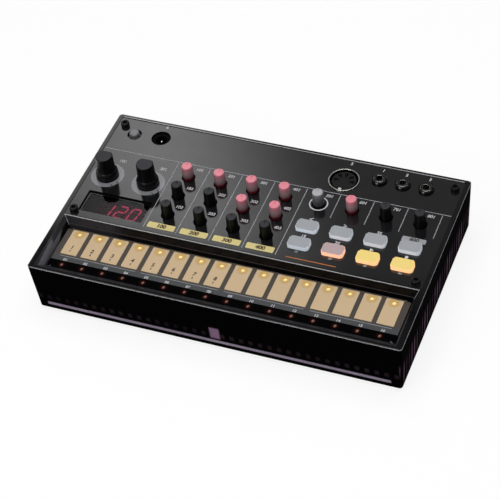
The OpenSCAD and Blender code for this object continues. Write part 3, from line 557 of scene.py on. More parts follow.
@finish
def polycarbonate_dim_edge(look):
    """Rounded inner edges of the rim: a dull grey line, a painted dim sheen of the pale room."""
    look.grained(4.0, 0.001, (0.15, 0.25), "#38393C", "#45464A", IOR=1.58)


@finish
def polycarbonate_light_edge(look):
    """Painted highlight: fine bright lines on the polished edges of clear plastic, where they gather light."""
    look.grained(4.0, 0.001, (0.12, 0.2), "#B4B5BA", "#C4C5CA", IOR=1.58)


@finish
def polycarbonate_outer_bevel(look):
    """The rim's outer bevel: a painted highlight as a fine light line low on it, and dark like the rim above.
    """
    noise = look.grain(6.0, 0.001, (0.08, 0.14))
    above = look.span(look.axes()["Z"], (RIM_Z - 0.32) * MM, (RIM_Z - 0.22) * MM)
    shown = look.mixed(above, look.mixed(noise, "#84858A", "#909196"), "#0E0E10")
    look.paint(Base_Color=shown, Specular_IOR_Level=0.25)


@finish
def polycarbonate_warm_seam(look):
    """The seam low on the bay's back slope, with a painted warm reflection of the pads."""
    look.grained(4.0, 0.001, (0.3, 0.4), "#4A4042", "#54484A", Specular_IOR_Level=0.2)


@finish
def abs_moulded_fine_grain(look):
    """Spark-eroded ABS of the lower case: dark grey, dull, with a fine even grain."""
    look.grained(0.9, 0.03, (0.5, 0.66), "#17171A", "#232326")


@finish
def abs_polished_panel(look):
    """Polished black ABS: a dark body under a clear gloss that mirrors the knobs."""
    look.grained(6.0, 0.002, (0.1, 0.14), "#101012", "#151517",
                 IOR=1.54, Coat_Weight=0.25, Coat_Roughness=0.05)


@finish
def abs_panel_front_edge(look):
    """The panel's front edge, dull and nearly black, and the walls of its holes, where the same near black is
    painted shade.
    """
    look.grained(0.8, 0.004, (0.55, 0.7), "#040405", "#08080A", Specular_IOR_Level=0.1)


@finish
def steel_black_oxide(look):
    """Blackened socket screws: dark metal with soft glints on their edges."""
    look.grained(0.5, 0.01, (0.28, 0.42), "#17181A", "#232427", Metallic=0.6)


def ink(look, base):
    """Screen-printed ink: flat, a little rough, with a faintly uneven film."""
    noise = look.grain(0.35, 0.004, (0.4, 0.55))
    look.paint(Base_Color=look.mixed(noise, shade(base, 0.92), base))


@finish
def screen_ink_white(look):
    """Off-white screen ink of the numbers and the small marks."""
    ink(look, chosen_colour("ink"))


@finish
def screen_ink_grey(look):
    """Light grey screen ink of the lines, the tab and the smallest numbers."""
    ink(look, chosen_colour("line"))


@finish
def screen_ink_tan(look):
    """Pale tan screen ink of the label strips."""
    ink(look, chosen_colour("label"))


@finish
def screen_ink_orange(look):
    """Orange screen ink of the accent line."""
    ink(look, chosen_colour("accent"))


@finish
def screen_ink_dark(look):
    """Dark brown screen ink of the marks on pale fields."""
    ink(look, linear("#3A2C1C"))


@finish
def screen_ink_gloss_grey(look):
    """Glossy grey ink of the rings round the big knobs, which mirrors the studio a little."""
    look.grained(2.0, 0.001, (0.1, 0.16), "#7A7B80", "#86878C")


@finish
def screen_ink_black(look):
    """Glossy black ink round the display window."""
    look.grained(1.0, 0.001, (0.12, 0.18), "#050506", "#09090A")


@finish
def abs_satin_knob(look):
    """Satin black ABS knobs: very dark, with a painted grey sheen on each flat top."""
    noise = look.grain(0.6, 0.012, (0.3, 0.42))
    sides, sheen_tops = look.mixed(noise, "#030304", "#070708"), look.mixed(noise, "#303034", "#3A3A3E")
    # Painted sheen: the faces that look up are lighter grey than the sides.
    shown = look.mixed(look.span(look.facing()["Z"], 0.7, 0.98), sides, sheen_tops)
    look.paint(Base_Color=shown, Specular_IOR_Level=0.28)


def lit_through(look, stops):
    """A tinted clear knob with painted light and shade: colours by the height over the panel, for the light
    that passes through it.
    """
    look.grain(0.7, 0.01, (0.22, 0.34))
    look.paint(Base_Color=look.along("Z", [(PANEL_Z + z, shown) for z, shown in stops]), IOR=1.58)


@finish
def polycarbonate_tinted_red(look):
    """Knobs of red-tinted polycarbonate, with painted light and shade: dark red at the foot, frosted above,
    bright at the top.
    """
    lit_through(look, (
        (0.0, "#3A0810"), (1.5, "#6E1826"), (2.3, "#8E6A6C"),
        (4.6, "#B4969A"), (6.0, "#D090A0"), (8.3, "#F0909E")))


@finish
def polycarbonate_clear_knob(look):
    """The clear knob, with painted light and shade: dark at the foot, glassy grey above, with a bright top."""
    lit_through(look, (
        (0.0, "#0E0E10"), (2.0, "#3A3A3D"), (4.5, "#6A6A6D"), (7.4, "#8E8E92"), (8.3, "#B8B8BC")))


def silicone(look, front, top, front_glow=0.4, top_glow=0.0):
    """Moulded silicone rubber, matt: its steep front is painted lighter and given a painted glow, for light
    that comes out through the translucent rubber.
    """
    look.grain(0.7, 0.012, (0.45, 0.6))
    share = look.span(look.facing()["Z"], 0.6, 0.97)
    glow = look.mixed(share, shade(front, front_glow), shade(top, top_glow))
    look.paint(Base_Color=look.mixed(share, front, top), IOR=1.41,
               Emission_Color=glow, Emission_Strength=1.0)


@finish
def silicone_grey(look):
    """Grey silicone buttons, with painted light on their steep fronts."""
    silicone(look, linear("#D5DEE8"), chosen_colour("button"))


@finish
def silicone_lit_yellow(look):
    """A silicone button with its light on: pale yellow, warmer at the front."""
    silicone(look, linear("#F8C08A"), chosen_colour("lit_button"), 0.95, 0.24)


@finish
def silicone_lit_pink(look):
    """A silicone button with a dim light behind its front."""
    silicone(look, linear("#FFB894"), linear("#B9A3A4"), 0.95, 0.1)


@finish
def abs_grey_cap(look):
    """The power button's polished grey cap."""
    look.grained(0.8, 0.004, (0.16, 0.24), "#6C6C70", "#78787C")


@finish
def steel_nickel_plated(look):
    """Nickel-plated steel: bright, with a faint haze from the plating."""
    look.grained(0.8, 0.004, (0.12, 0.24), "#C9C7C2", "#E2E0DC", Metallic=1.0)


@finish
def steel_nickel_bright(look):
    """The data socket's key: nickel with a painted highlight, a small bright mark in the full light of the
    lamps.
    """
    look.grained(0.8, 0.004, (0.3, 0.4), "#DDDBD6", "#E8E6E2", Metallic=0.2)


@finish
def brass_gold_flashed(look):
    """Gold-flashed brass contacts: warm and bright."""
    look.grained(0.5, 0.004, (0.2, 0.32), "#C9A24E", "#E0BE6A", Metallic=1.0)


@finish
def nylon_moulded_socket(look):
    """Black glass-filled nylon of the sockets: dark with a slight gloss."""
    look.grained(0.5, 0.01, (0.3, 0.45), "#060607", "#0B0B0C", Specular_IOR_Level=0.35)


@finish
def nylon_socket_slot(look):
    """Painted shade: near black for the deep slots round the socket's contacts and inside the power inlet,
    where no light comes back.
    """
    look.grained(0.5, 0.004, (0.7, 0.8), "#020202", "#040404", Specular_IOR_Level=0.1)


@finish
def nickel_black_nut(look):
    """Black nickel ring nuts: dark mirror metal with sharp glints."""
    look.grained(0.6, 0.004, (0.1, 0.2), "#38383B", "#4A4A4E", Metallic=1.0)


@finish
def acrylic_smoked_window(look):
    """Smoked acrylic over the display: clear enough for the lit digits, purple-grey otherwise."""
    look.grained(9.0, 0.001, (0.02, 0.04), "#80707C", "#847480", IOR=1.21, Transmission_Weight=1.0)


@finish
def epoxy_display_black(look):
    """The display module's black face, with a painted red glow from the digits on it."""
    centre = middle("display_segments") + Vector((3.5, 0, 0))
    reach_x, reach_y = 17.0, 8.0
    away = look.vectors("SUBTRACT", look.point(), centre * MM)
    away = look.vectors("MULTIPLY", away, (1 / (reach_x * MM), 1 / (reach_y * MM), 0))
    away = look.vectors("LENGTH", away, output="Value")
    glow = look.ramp(away, [(0.2, "#5C1A30"), (0.7, "#300C1A"), (1.0, "#000000")])
    look.grained(0.5, 0.004, (0.35, 0.5), "#0B0A0B", "#121011", Emission_Color=glow, Emission_Strength=1.0)


@finish
def epoxy_segment_lit(look):
    """Lit segments: red light that fills the diffuser evenly."""
    look.paint(Base_Color="#7A1020", Roughness=0.4,
               Emission_Color=chosen_colour("digits"), Emission_Strength=1.5)


@finish
def epoxy_segment_dark(look):
    """Unlit segments, just lighter than the module's face."""
    look.grained(0.5, 0.004, (0.35, 0.5), "#1A1214", "#201618")


def distance_to_lights(look, y, aside=0.0):
    """The distance in metres to the nearest light of the row at y, each one set aside a little in X."""
    axes = look.axes()
    across = look.maths("ADD", axes["X"], (PAD_PITCH / 2 - aside) * MM)
    across = look.maths("WRAP", across, PAD_PITCH / 2 * MM, -PAD_PITCH / 2 * MM)
    flat = look.add("CombineXYZ", inputs={"X": across, "Y": look.maths("SUBTRACT", axes["Y"], y * MM)})
    return look.vectors("LENGTH", flat.outputs["Vector"], output="Value")


def falloff(look, distance, reach, stops):
    """Colours by the distance from a light, out to reach in millimetres."""
    return look.ramp(look.span(distance, 0.0, reach * MM), stops)


@finish
def polyester_film_pad(look):
    """Printed polyester film over the touch pads: warm tan, with a painted glow and painted golden light round
    each step light.
    """
    away = distance_to_lights(look, STEP_LED_Y)
    glow = falloff(look, away, 2.8, [(0.0, "#A07A30"), (0.45, "#6E5420"), (0.75, "#2E2008"), (1.0, "#000000")])
    noise = look.grain(0.5, 0.006, (0.42, 0.55))
    base = chosen_colour("pad")
    # Painted light: the film turns golden near each step light.
    golden_light_share = look.span(away, 1.8 * MM, 3.4 * MM, 1.0, 0.0)
    shown = look.mixed(golden_light_share, look.mixed(noise, shade(base, 0.95), base), "#C8A468")
    look.paint(Base_Color=shown, Emission_Color=glow, Emission_Strength=0.8)


@finish
def polyester_film_plate(look):
    """Printed polyester film round the pads: warm grey between them, cooler in front, and satin."""
    look.grain(0.5, 0.006, (0.3, 0.42))
    look.paint(Base_Color=look.along("Y", [
        (-44, "#414345"), (-41.5, "#414345"), (-40.5, "#48413A"), (-36, "#48413A")]))


@finish
def polyester_film_strip(look):
    """The film's glossy black strip, with a painted dim red glow round each light."""
    glow = falloff(look, distance_to_lights(look, PART_LED_Y, RED_ASIDE), 2.4, [
        (0.0, "#7A3A28"), (0.35, "#3A1408"), (0.65, "#1C0602"), (1.0, "#000000")])
    look.grained(3.0, 0.001, (0.05, 0.08), "#020203", "#040405",
                 Specular_IOR_Level=0.05, Emission_Color=glow, Emission_Strength=0.5)


@finish
def polyester_film_edge(look):
    """The plate's bevelled ends: painted light where the film's clear edge takes up the pads' light, dimmer
    beyond them.
    """
    look.grain(2.0, 0.004, (0.25, 0.4))
    look.paint(Base_Color=look.along("Y", [
        (-48, "#55535A"), (-45, "#6B686E"), (-43, "#B1AAA4"),
        (-29, "#B1AAA4"), (-25, "#141414"), (-24, "#141414")]))


@finish
def epoxy_led_yellow(look):
    """Yellow step lights: nearly white in the middle and golden towards the pad."""
    glow = falloff(look, distance_to_lights(look, STEP_LED_Y), 1.5, [
        (0.0, "#FFF1A4"), (0.55, "#FFE494"), (0.85, "#E8BE74"), (1.0, "#D2A45C")])
    look.paint(Base_Color="#3A2C14", Roughness=0.3, Specular_IOR_Level=0.2,
               Emission_Color=glow, Emission_Strength=1.0)


@finish
def epoxy_led_red(look):
    """Dim red lights of the front strip: a small pale die in a dark lens."""
    glow = falloff(look, distance_to_lights(look, PART_LED_Y, RED_ASIDE), 1.5, [
        (0.0, "#8A6E66"), (0.4, "#7A5A50"), (0.62, "#2A0E08"), (1.0, "#120402")])
    look.paint(Base_Color="#140706", Roughness=0.3, Specular_IOR_Level=0.1,
               Emission_Color=glow, Emission_Strength=1.0)


@finish
def fibreglass_green_board(look):
    """Green solder mask over fibreglass, with the copper runs just showing."""
    runs = look.add("TexBrick", {"offset": 0.5}, {
        "Vector": look.point(), "Scale": 1 / (8 * MM), "Mortar Size": 0.03,
        "Color1": "#1C5A38", "Color2": "#1F5F3B", "Mortar": "#2F7A4E"})
    look.paint(Base_Color=runs.outputs["Color"], Roughness=0.35)


@finish
def steel_zinc_stamped(look):
    """Zinc-plated stamped steel of the potentiometers and the speaker."""
    look.grained(1.2, 0.01, (0.32, 0.5), "#7E848C", "#9AA0A6", Metallic=1.0)


@finish
def phenolic_switch(look):
    """Dark grey moulded switch bodies."""
    look.grained(0.8, 0.01, (0.45, 0.6), "#333438", "#3E3F43")


@finish
def steel_can_sleeved(look):
    """Battery cells: a shiny plain sleeve, dark along most of its length and copper at one end."""
    start, end = low("battery_cells").x * MM, high("battery_cells").x * MM
    share = look.span(look.axes()["X"], start, end)
    stops = [(0.0, "#1B1C1F"), (0.33, "#B06A34"), (0.48, "#1B1C1F"), (0.85, "#B06A34")]
    look.paint(Base_Color=look.ramp(share, stops, "CONSTANT"), Roughness=0.22, Metallic=0.4)


@finish
def paper_cone(look):
    """Pressed paper of the speaker cone: black and fibrous."""
    look.grained(0.6, 0.06, (0.75, 0.9), "#101010", "#1C1B1A")


@finish
def rubber_moulded_foot(look):
    """Moulded rubber feet: black, dull, with a soft grain."""
    look.grained(0.8, 0.04, (0.7, 0.85), "#141414", "#1E1E1E")


@finish
def pvc_lead(look):
    """PVC insulation of the leads and the flat strip."""
    look.grained(1.5, 0.01, (0.4, 0.5), "#8E2020", "#A02828")


# ---- operators, one for each group of pieces ----


class DrumOperator:
    """An operator that makes its pieces."""

    bl_options = {"REGISTER", "UNDO"}

    def execute(self, context):
        self.make()
        return {"FINISHED"}


class DRUM_OT_case(DrumOperator, bpy.types.Operator):
    """Finishes the upper and lower case, the feet and the case screws."""

    bl_idname = "drum.case"
    bl_label = "Case"

    def make(self):
        half = high("upper_case")
        bay_back = low("control_panel").y
        bay_floor = PLATE_Z - 4
        wall, rim, dim_sheen_edge, slope, bevel = range(5)

        def surface_of(face):
            centre, normal = face.calc_center_median() / MM, face.normal
            outside = abs(centre.x) > half.x - 2 or abs(centre.y) > half.y - 2
            if outside and 0.3 < normal.z < 0.9 and centre.z > RIM_Z - 1:
                # The front and right outer bevels take the painted highlight line; the others stay like the
                # rim.
                return bevel if normal.y < -0.3 or normal.x > 0.3 else rim
            if outside and abs(normal.z) < 0.3:
                return wall
            return slope if centre.y < bay_back and centre.z > bay_floor and normal.z < 0.98 else rim

        def rim_edge(edge):
            at = edge_middle(edge)
            inside = abs(at.x) < half.x - 1.2 and abs(at.y) < half.y - 1.2
            return inside and at.z > bay_floor and edge.calc_length() > 0.5 * MM

        surfaces = [smoked_polycarbonate_wall(), smoked_polycarbonate_rim(), polycarbonate_dim_edge(),
                    smoked_polycarbonate_slope(), polycarbonate_outer_bevel()]
        dressed("upper_case", surfaces, chosen=rim_edge, index=dim_sheen_edge, rule=surface_of)

        # Painted highlights as thin light rods on the bay's back edge and mitres and on the rim's edge behind
        # the panel, and a painted warm reflection along the seam low on the back slope
        line = 0.3
        plate = high("touch_plate")
        bay_top = Vector((half.x - 3.2, bay_back - 1.25, RIM_Z))
        bay_foot = Vector((plate.x + 0.7, plate.y + 1.65, PLATE_Z + 0.3))
        behind = Vector((bay_top.x, high("control_panel").y + 0.15, RIM_Z))
        mirrored = Vector((-1, 1, 1))
        glints, seam = bmesh.new(), bmesh.new()
        for bm, at in ((glints, bay_top), (glints, behind), (seam, bay_foot.lerp(bay_top, 0.16))):
            rod(bm, at * mirrored, at, line)
        rod(glints, bay_top * mirrored, bay_foot * mirrored, line)
        rod(glints, bay_top, bay_foot, line)
        finished("case_glints", glints, [polycarbonate_light_edge()])
        finished("case_seam", seam, [polycarbonate_warm_seam()])
        dressed("lower_case", [abs_moulded_fine_grain()], chosen=under(low("lower_case").z + 0.01))
        dressed("feet", [rubber_moulded_foot()], width=0.4)
        dressed("case_screws", [steel_black_oxide()], width=0.12)


class DRUM_OT_panel(DrumOperator, bpy.types.Operator):
    """Finishes the control panel and its screws."""

    bl_idname = "drum.panel"
    bl_label = "Control panel"

    def make(self):
        near = low("control_panel")

        def front_edge(edge):
            at = edge_middle(edge)
            return at.y - near.y < 0.3 and at.z > PANEL_Z - 0.1

        # The walls of the panel's holes take the near-black finish as painted shade.
        dressed("control_panel", [abs_polished_panel(), abs_panel_front_edge()],
                width=0.6, chosen=front_edge, index=1, rule=lambda face: int(face.normal.z < 0.5))
        dressed("panel_screws", [steel_black_oxide()], width=0.15, chosen=over(PANEL_Z + 0.5))


class DRUM_OT_print(DrumOperator, bpy.types.Operator):
    """Prints the panel: lines, rings, label strips and plain numerals."""

    bl_idname = "drum.print"
    bl_label = "Panel print"

    def make(self):
        ink_z = sizes().ink / MM
        z0, z1 = PANEL_Z, PANEL_Z + ink_z
        line, small = sizes().line / MM, sizes().numeral / MM
        rings, grey, white, tan, dark, orange = (bmesh.new() for _ in range(6))

        def number(text, x, y, height=small, bm=white):
            numerals(bm, str(text), height, (x, y), z0, z1)

        # The long line behind the knobs, and one line between each two columns
        back_y, column_front_y, short_front_y = ROW_Y[0] + 9.15, ROW_Y[2] - 11.0, ROW_Y[0] - 7.7
        panel_low, panel_high = low("control_panel"), high("control_panel")
        prism(grey, bar((panel_low.x, back_y), (panel_high.x - 0.3, back_y), line), z0, z1)
        for i in range(9):
            x = COLUMN_X[0] + (i - 0.5) * COLUMN_PITCH
            front_y = column_front_y if i < 5 else short_front_y
            prism(grey, bar((x, back_y - 0.6), (x, front_y), line), z0, z1)

        # The rings round the big knobs with two dark ticks on each, and the ring round the clear knob
        ring_inner, ring_outer, tick_inner = 6.0, 8.7, 7.2
        for knob in BIG_KNOBS:
            at = middle(knob)
            ring(rings, at, ring_inner, ring_outer, z0, z1)
            for angle in (-52, -28):
                tick = bar(at.xy + spoke(angle) * tick_inner, at.xy + spoke(angle) * ring_outer, 0.5)
                prism(dark, tick, z1, z1 + ink_z)
        ring(white, middle("column_5_knob"), 4.2, 4.85, z0, z1)

        # A number behind each knob and socket
        aside, behind_small, behind_big = 3.6, 6.4, 11.6
        for i, knob in enumerate(SMALL_KNOBS):
            column, row = (i // 3 + 1, i % 3 + 1) if i < 12 else (i - 7, 1)
            number(100 * column + row, middle(knob).x + aside, middle(knob).y + behind_small)
        for i, knob in enumerate(BIG_KNOBS):
            number(f"{10 + 10 * i}1", middle(knob).x + aside, middle(knob).y + behind_big)
        socket_y = panel_high.y - 1.9
        for i, jack in enumerate(JACKS):
            number(i + 1, middle(jack).x, socket_y - 0.4)
        number(5, middle("din_ring").x, socket_y)
        number(9, middle("dc_inlet").x, socket_y)

        # The tab behind the shift button, the triangle and the dot behind the lit ones, and two chevrons
        tab = (middle("shift_button").x, high("shift_button").y + 1.9)
        prism(grey, rounded_outline(tab, 12.2, 3.2, 0.7), z0, z1)
        numerals(dark, "800", 2.3, tab, z1, z1 + ink_z, 0.05)
        half, tip = 0.9, 1.1
        mark_y = high("play_button").y + 2.0
        play_x = middle("play_button").x
        triangle = [(play_x - half, mark_y - half), (play_x + tip, mark_y), (play_x - half, mark_y + half)]
        prism(white, triangle, z0, z1)
        dot = rounded_outline((middle("record_button").x, mark_y), 2 * half, 2 * half, half - 0.01)
        prism(white, dot, z0, z1)
        chevron_y = high("part_left_button").y + 1.9
        for button, side in (("part_left_button", -half), ("part_right_button", half)):
            x = middle(button).x
            for end in (-half, half):
                prism(white, bar((x + side, chevron_y), (x - side, chevron_y + end), 0.4), z0, z1)
        for i, button in enumerate(LOWER_BUTTONS):
            number(f"{i + 1}0", middle(button).x, low(button).y - 0.9, 1.3, grey)
        for i, button in enumerate(("memory_button", "step_button", "mute_button")):
            number(f"{i + 1}5", middle(button).x, high(button).y + 1.8)

        # The label strips in front of the knob columns, and the accent line
        strip_y, strip_w, strip_d, strip_r = ROW_Y[2] - 8.55, COLUMN_PITCH - 3.0, 3.8, 0.7
        for i, x in enumerate(COLUMN_X[:4]):
            prism(tan, rounded_outline((x, strip_y), strip_w, strip_d, strip_r), z0, z1)
            numerals(dark, str(100 * (i + 1)), 2.4, (x, strip_y), z1, z1 + ink_z, 0.06)
        accent_y = ROW_Y[2] - 10.6
        prism(orange, bar((COLUMN_X[4] - 3.4, accent_y), (COLUMN_X[5] + 4.6, accent_y), 0.45), z0, z1)
        for name, bm, surface in (
            ("rings", rings, screen_ink_gloss_grey()), ("grey", grey, screen_ink_grey()),
            ("white", white, screen_ink_white()), ("tan", tan, screen_ink_tan()),
            ("dark", dark, screen_ink_dark()), ("orange", orange, screen_ink_orange()),
        ):
            finished("panel_print_" + name, bm, [surface])


# Segments of a digit: a top, b and c right, d bottom, e and f left, g middle
SEGMENTS = {
    "0": "abcdef", "1": "bc", "2": "abged", "3": "abgcd", "4": "fgbc", "5": "afgcd",
    "6": "afgedc", "7": "abc", "8": "abcdefg", "9": "abcdfg", " ": "",
}


class DRUM_OT_display(DrumOperator, bpy.types.Operator):
    """Finishes the display: module, segments and window."""

    bl_idname = "drum.display"
    bl_label = "Display"

    def make(self):
        module_low, module_high = low("display_module"), high("display_module")
        thick, wide, slant, inset = 0.2, 0.75, 0.17, 0.25
        pitch = (module_high.x - module_low.x - 2) / 4.05
        first_x = middle("display_module").x - 0.9 - 1.5 * pitch
        centre_y = middle("display_segments").y
        left, right, back, front = -2.2, 2.2, 4.05, -4.05
        lines = {
            "a": ((left, back), (right, back)), "g": ((left, 0), (right, 0)),
            "d": ((left, front), (right, front)),
            "f": ((left, 0), (left, back)), "e": ((left, front), (left, 0)),
            "b": ((right, 0), (right, back)), "c": ((right, front), (right, 0)),
        }
        lit, unlit = bmesh.new(), bmesh.new()
        for i, digit in enumerate(str(sizes().tempo).rjust(4)):
            for name, (start, end) in lines.items():
                along_it = (Vector(end) - Vector(start)).normalized()
                side, tip = Vector((-along_it.y, along_it.x)) * wide / 2, along_it * wide / 2
                a, b = Vector(start) + along_it * inset, Vector(end) - along_it * inset
                outline = [a, a + tip - side, b - tip - side, b, b - tip + side, a + tip + side]
                outline = [(first_x + i * pitch + p.x + slant * p.y, centre_y + p.y) for p in outline]
                shown = lit if name in SEGMENTS[digit] else unlit
                prism(shown, outline, module_high.z, module_high.z + thick)
        for name, bm, surface in (("lit", lit, epoxy_segment_lit()), ("unlit", unlit, epoxy_segment_dark())):
            finished("display_segments_" + name, bm, [surface], replaces=["display_segments"])
        dressed("display_module", [epoxy_display_black()], width=0.3)
        dressed("display_window", [acrylic_smoked_window()], width=0.15)

        border = bmesh.new()
        near, far = low("display_window"), high("display_window")
        edge = 1.1
        inner_front, inner_back = near.y + edge / 2, far.y - edge
        for x0, x1, y0, y1 in (
            (near.x, far.x, inner_back, far.y), (near.x, far.x, near.y, inner_front),
            (near.x, near.x + edge, inner_front, inner_back), (far.x - edge, far.x, inner_front, inner_back),
        ):
            prism(border, [(x0, y0), (x1, y0), (x1, y1), (x0, y1)], far.z, far.z + sizes().ink / MM)
        finished("window_border", border, [screen_ink_black()])


class DRUM_OT_knobs(DrumOperator, bpy.types.Operator):
    """Finishes the eighteen knobs."""

    bl_idname = "drum.knobs"
    bl_label = "Knobs"

    def make(self):
        for knob in SMALL_KNOBS:
            surface, slot = abs_satin_knob(), "knob_black"
            if knob in RED_KNOBS:
                surface, slot = polycarbonate_tinted_red(), "knob_red"
            if knob in CLEAR_KNOBS:
                surface, slot = polycarbonate_clear_knob(), "knob_clear"
            dressed(knob, [surface], width=0.15, chosen=over(PANEL_Z + 1), smooth=40)
        for knob in BIG_KNOBS:
            dressed(knob, [abs_satin_knob()], width=0.25, chosen=over(PANEL_Z), smooth=40)


class DRUM_OT_buttons(DrumOperator, bpy.types.Operator):
    """Finishes the panel buttons and the power button."""

    bl_idname = "drum.buttons"
    bl_label = "Buttons"

    def make(self):
        lit = {
            "step_button": (silicone_lit_pink(), "button_lit_pink"),
            "play_button": (silicone_lit_yellow(), "button_lit_yellow"),
            "record_button": (silicone_lit_yellow(), "button_lit_yellow"),
        }
        for button in LOWER_BUTTONS + UPPER_BUTTONS:
            surface, slot = lit.get(button, (silicone_grey(), "button_grey"))
            dressed(button, [surface], width=0.6, segments=4, chosen=over(PANEL_Z), smooth=50)
        dressed("power_button", [abs_grey_cap()], width=0.25, segments=3,
                chosen=over(PANEL_Z), smooth=50)


class DRUM_OT_sockets(DrumOperator, bpy.types.Operator):
    """Finishes the jacks, the data socket and the power inlet."""

    bl_idname = "drum.sockets"
    bl_label = "Sockets"

    def make(self):
        throat, pin = 2.3, 1.4
        for jack in JACKS:
            dressed(jack, [nylon_moulded_socket(), steel_nickel_plated()], width=0.12, index=1,
                    rule=within(middle(jack).xy, throat))
        dressed("jack_nuts", [nickel_black_nut()], width=0.14, segments=3)
        dressed("din_socket", [nylon_moulded_socket()], width=0.15)
        dressed("din_ring", [steel_nickel_plated()], width=0.16, segments=3)
        dressed("din_contacts", [brass_gold_flashed()], width=0.12)
        centre, core_top = middle("din_ring").xy, high("din_socket").z
        key, key_y = bmesh.new(), low("din_ring").y + 1.35
        key_outline = rounded_outline((centre.x, key_y), 1.5, 1.3, 0.3)
        prism(key, key_outline, core_top - 0.6, high("din_ring").z - 0.01)
        finished("din_key", key, [steel_nickel_bright()])
        # Dark petals on the socket's core stand for its deep slots as painted shade.
        petals, petal_inner, petal_outer = bmesh.new(), 2.0, 4.9
        for contact in range(5):
            outwards = spoke(45 * contact)
            side = Vector((-outwards.y, outwards.x)) * 1.15
            inner, outer = centre + outwards * petal_inner, centre + outwards * petal_outer
            petal = [inner, outer - side, outer + outwards * 0.7, outer + side]
            prism(petals, petal, core_top + 0.01, core_top + 0.03)
        finished("din_petals", petals, [nylon_socket_slot()])
        # The power inlet is near black as painted shade, except for its nickel pin.
        dressed("dc_inlet", [nylon_socket_slot(), steel_nickel_plated()], width=0.15,
                rule=within(middle("dc_inlet").xy, pin))


class DRUM_OT_touch_strip(DrumOperator, bpy.types.Operator):
    """Finishes the touch plate, its pads and lights, and its print."""

    bl_idname = "drum.touch_strip"
    bl_label = "Touch strip"

    def make(self):
        strip_end = PART_LED_Y + 2.6
        plate, edge, strip = range(3)

        def film_of(face):
            if abs(face.normal.x) > 0.3 and face.normal.z > 0.1:
                return edge
            return strip if face.calc_center_median().y / MM < strip_end else plate

        films = [polyester_film_plate(), polyester_film_edge(), polyester_film_strip()]
        dressed("touch_plate", films, width=0.18, index=plate, rule=film_of,
                chosen=lambda edge: edge.calc_length() > 2 * MM, cut=(mm(0, strip_end, 0), (0, 1, 0)))
        dressed("step_pads", [polyester_film_pad()], width=0.1, chosen=over(PLATE_Z + 0.1))
        dressed("step_leds", [epoxy_led_yellow()], width=0.15)
        dressed("part_leds", [epoxy_led_red()], width=0.15)

        ink_z = sizes().ink / MM
        pad_front, pad_z = low("step_pads").y, high("step_pads").z
        label_y, line_y = PART_LED_Y + 3.5, pad_front - 1.2
        grey, white, dark = bmesh.new(), bmesh.new(), bmesh.new()
        for i, x in enumerate(PAD_X):
            numerals(white, f"{i + 1:02d}", 1.6, (x, label_y), PLATE_Z, PLATE_Z + ink_z)
        for first, last in zip(PAD_X[::4], PAD_X[3::4]):
            prism(grey, bar((first - 4, line_y), (last + 4, line_y), 0.28), PLATE_Z, PLATE_Z + ink_z)
        for i, x in enumerate(PAD_X[:8]):
            numerals(dark, str(i + 1), 2.4, (x, pad_front + 5.0), pad_z, pad_z + ink_z)
            prism(dark, bar((x, pad_front + 1.9), (x, pad_front + 3.1), 0.45), pad_z, pad_z + ink_z)
        finished("plate_print_grey", grey, [screen_ink_grey()])
        finished("plate_print_white", white, [screen_ink_white()])
        finished("pad_print_dark", dark, [screen_ink_dark()])


class DRUM_OT_inside(DrumOperator, bpy.types.Operator):
    """Finishes what lies inside and behind the battery cover."""

    bl_idname = "drum.inside"
    bl_label = "Inside"

    def make(self):
        dressed("battery_cover", [abs_moulded_fine_grain()], width=0.2,
                chosen=under(low("battery_cover").z + 0.5))
        for surface, nodes in (
            (fibreglass_green_board, ("touch_board", "main_board")),
            (phenolic_switch, ("power_switch", "button_switches")),
            (steel_zinc_stamped, ("small_pots", "large_pots", "speaker_frame")),
            (steel_can_sleeved, ("battery_cells",)), (steel_nickel_plated, ("battery_contacts",)),
            (paper_cone, ("speaker_cone",)), (pvc_lead, ("inner_leads",)),
        ):
            for node in nodes:
                for material_slot in NODES[node].material_slots:
                    material_slot.link = "OBJECT"
                    material_slot.material = surface()


class DRUM_OT_stage(DrumOperator, bpy.types.Operator):
    """Makes the floor, the soft lights and the camera."""

    bl_idname = "drum.stage"
    bl_label = "Stage"

    def make(self):
        make_floor()
        make_lights()
        make_camera()


def sheet(name, paint, width, depth):
    """A level rectangle for the studio, with the empty look of its own material."""
    bm = bmesh.new()
    bm.faces.new(
        [bm.verts.new((x * width / 2, y * depth / 2, 0)) for x, y in ((-1, -1), (1, -1), (1, 1), (-1, 1))])
    mesh = mesh_of(name, bm)
    material = bpy.data.materials.new(paint)
    material.use_nodes = True
    material.node_tree.nodes.clear()
    mesh.materials.append(material)
    return placed(name, mesh), Look(material.node_tree)


def make_floor():
    """A pale floor, white where it is looked at, with a soft shadow, and clear from below."""
    across = 24.0
    shadow_share = 0.2
    floor, look = sheet("floor", "painted_floor", across, across)
    paths = look.add("LightPath").outputs
    seen = look.maths("MAXIMUM", paths["Is Camera Ray"], paths["Is Glossy Ray"])
    seen = look.maths("MAXIMUM", seen, paths["Is Transmission Ray"])
    share = look.maths("MULTIPLY", seen, 1 - shadow_share)
    paint = look.add("BsdfDiffuse", inputs={"Color": "#F4F4F4"}).outputs["BSDF"]
    white = look.add("Emission", inputs={"Color": "#FFFFFF", "Strength": 1.06}).outputs["Emission"]
    above = look.add("MixShader", inputs={0: share, 1: paint, 2: white}).outputs["Shader"]
    below = look.add("NewGeometry").outputs["Backfacing"]
    clear = look.add("BsdfTransparent").outputs["BSDF"]
    both = look.add("MixShader", inputs={0: below, 1: above, 2: clear}).outputs["Shader"]
    look.add("OutputMaterial", inputs={"Surface": both})


def lamp(name, centre, size, power):
    """A soft square lamp that faces the machine."""
    light = bpy.data.lights.new(name, "AREA")
    light.size = size
    light.energy = power
    piece = placed(name, light)
    piece.location = centre
    piece.rotation_mode = "QUATERNION"
    piece.rotation_quaternion = (-Vector(centre)).to_track_quat("-Z", "Y")


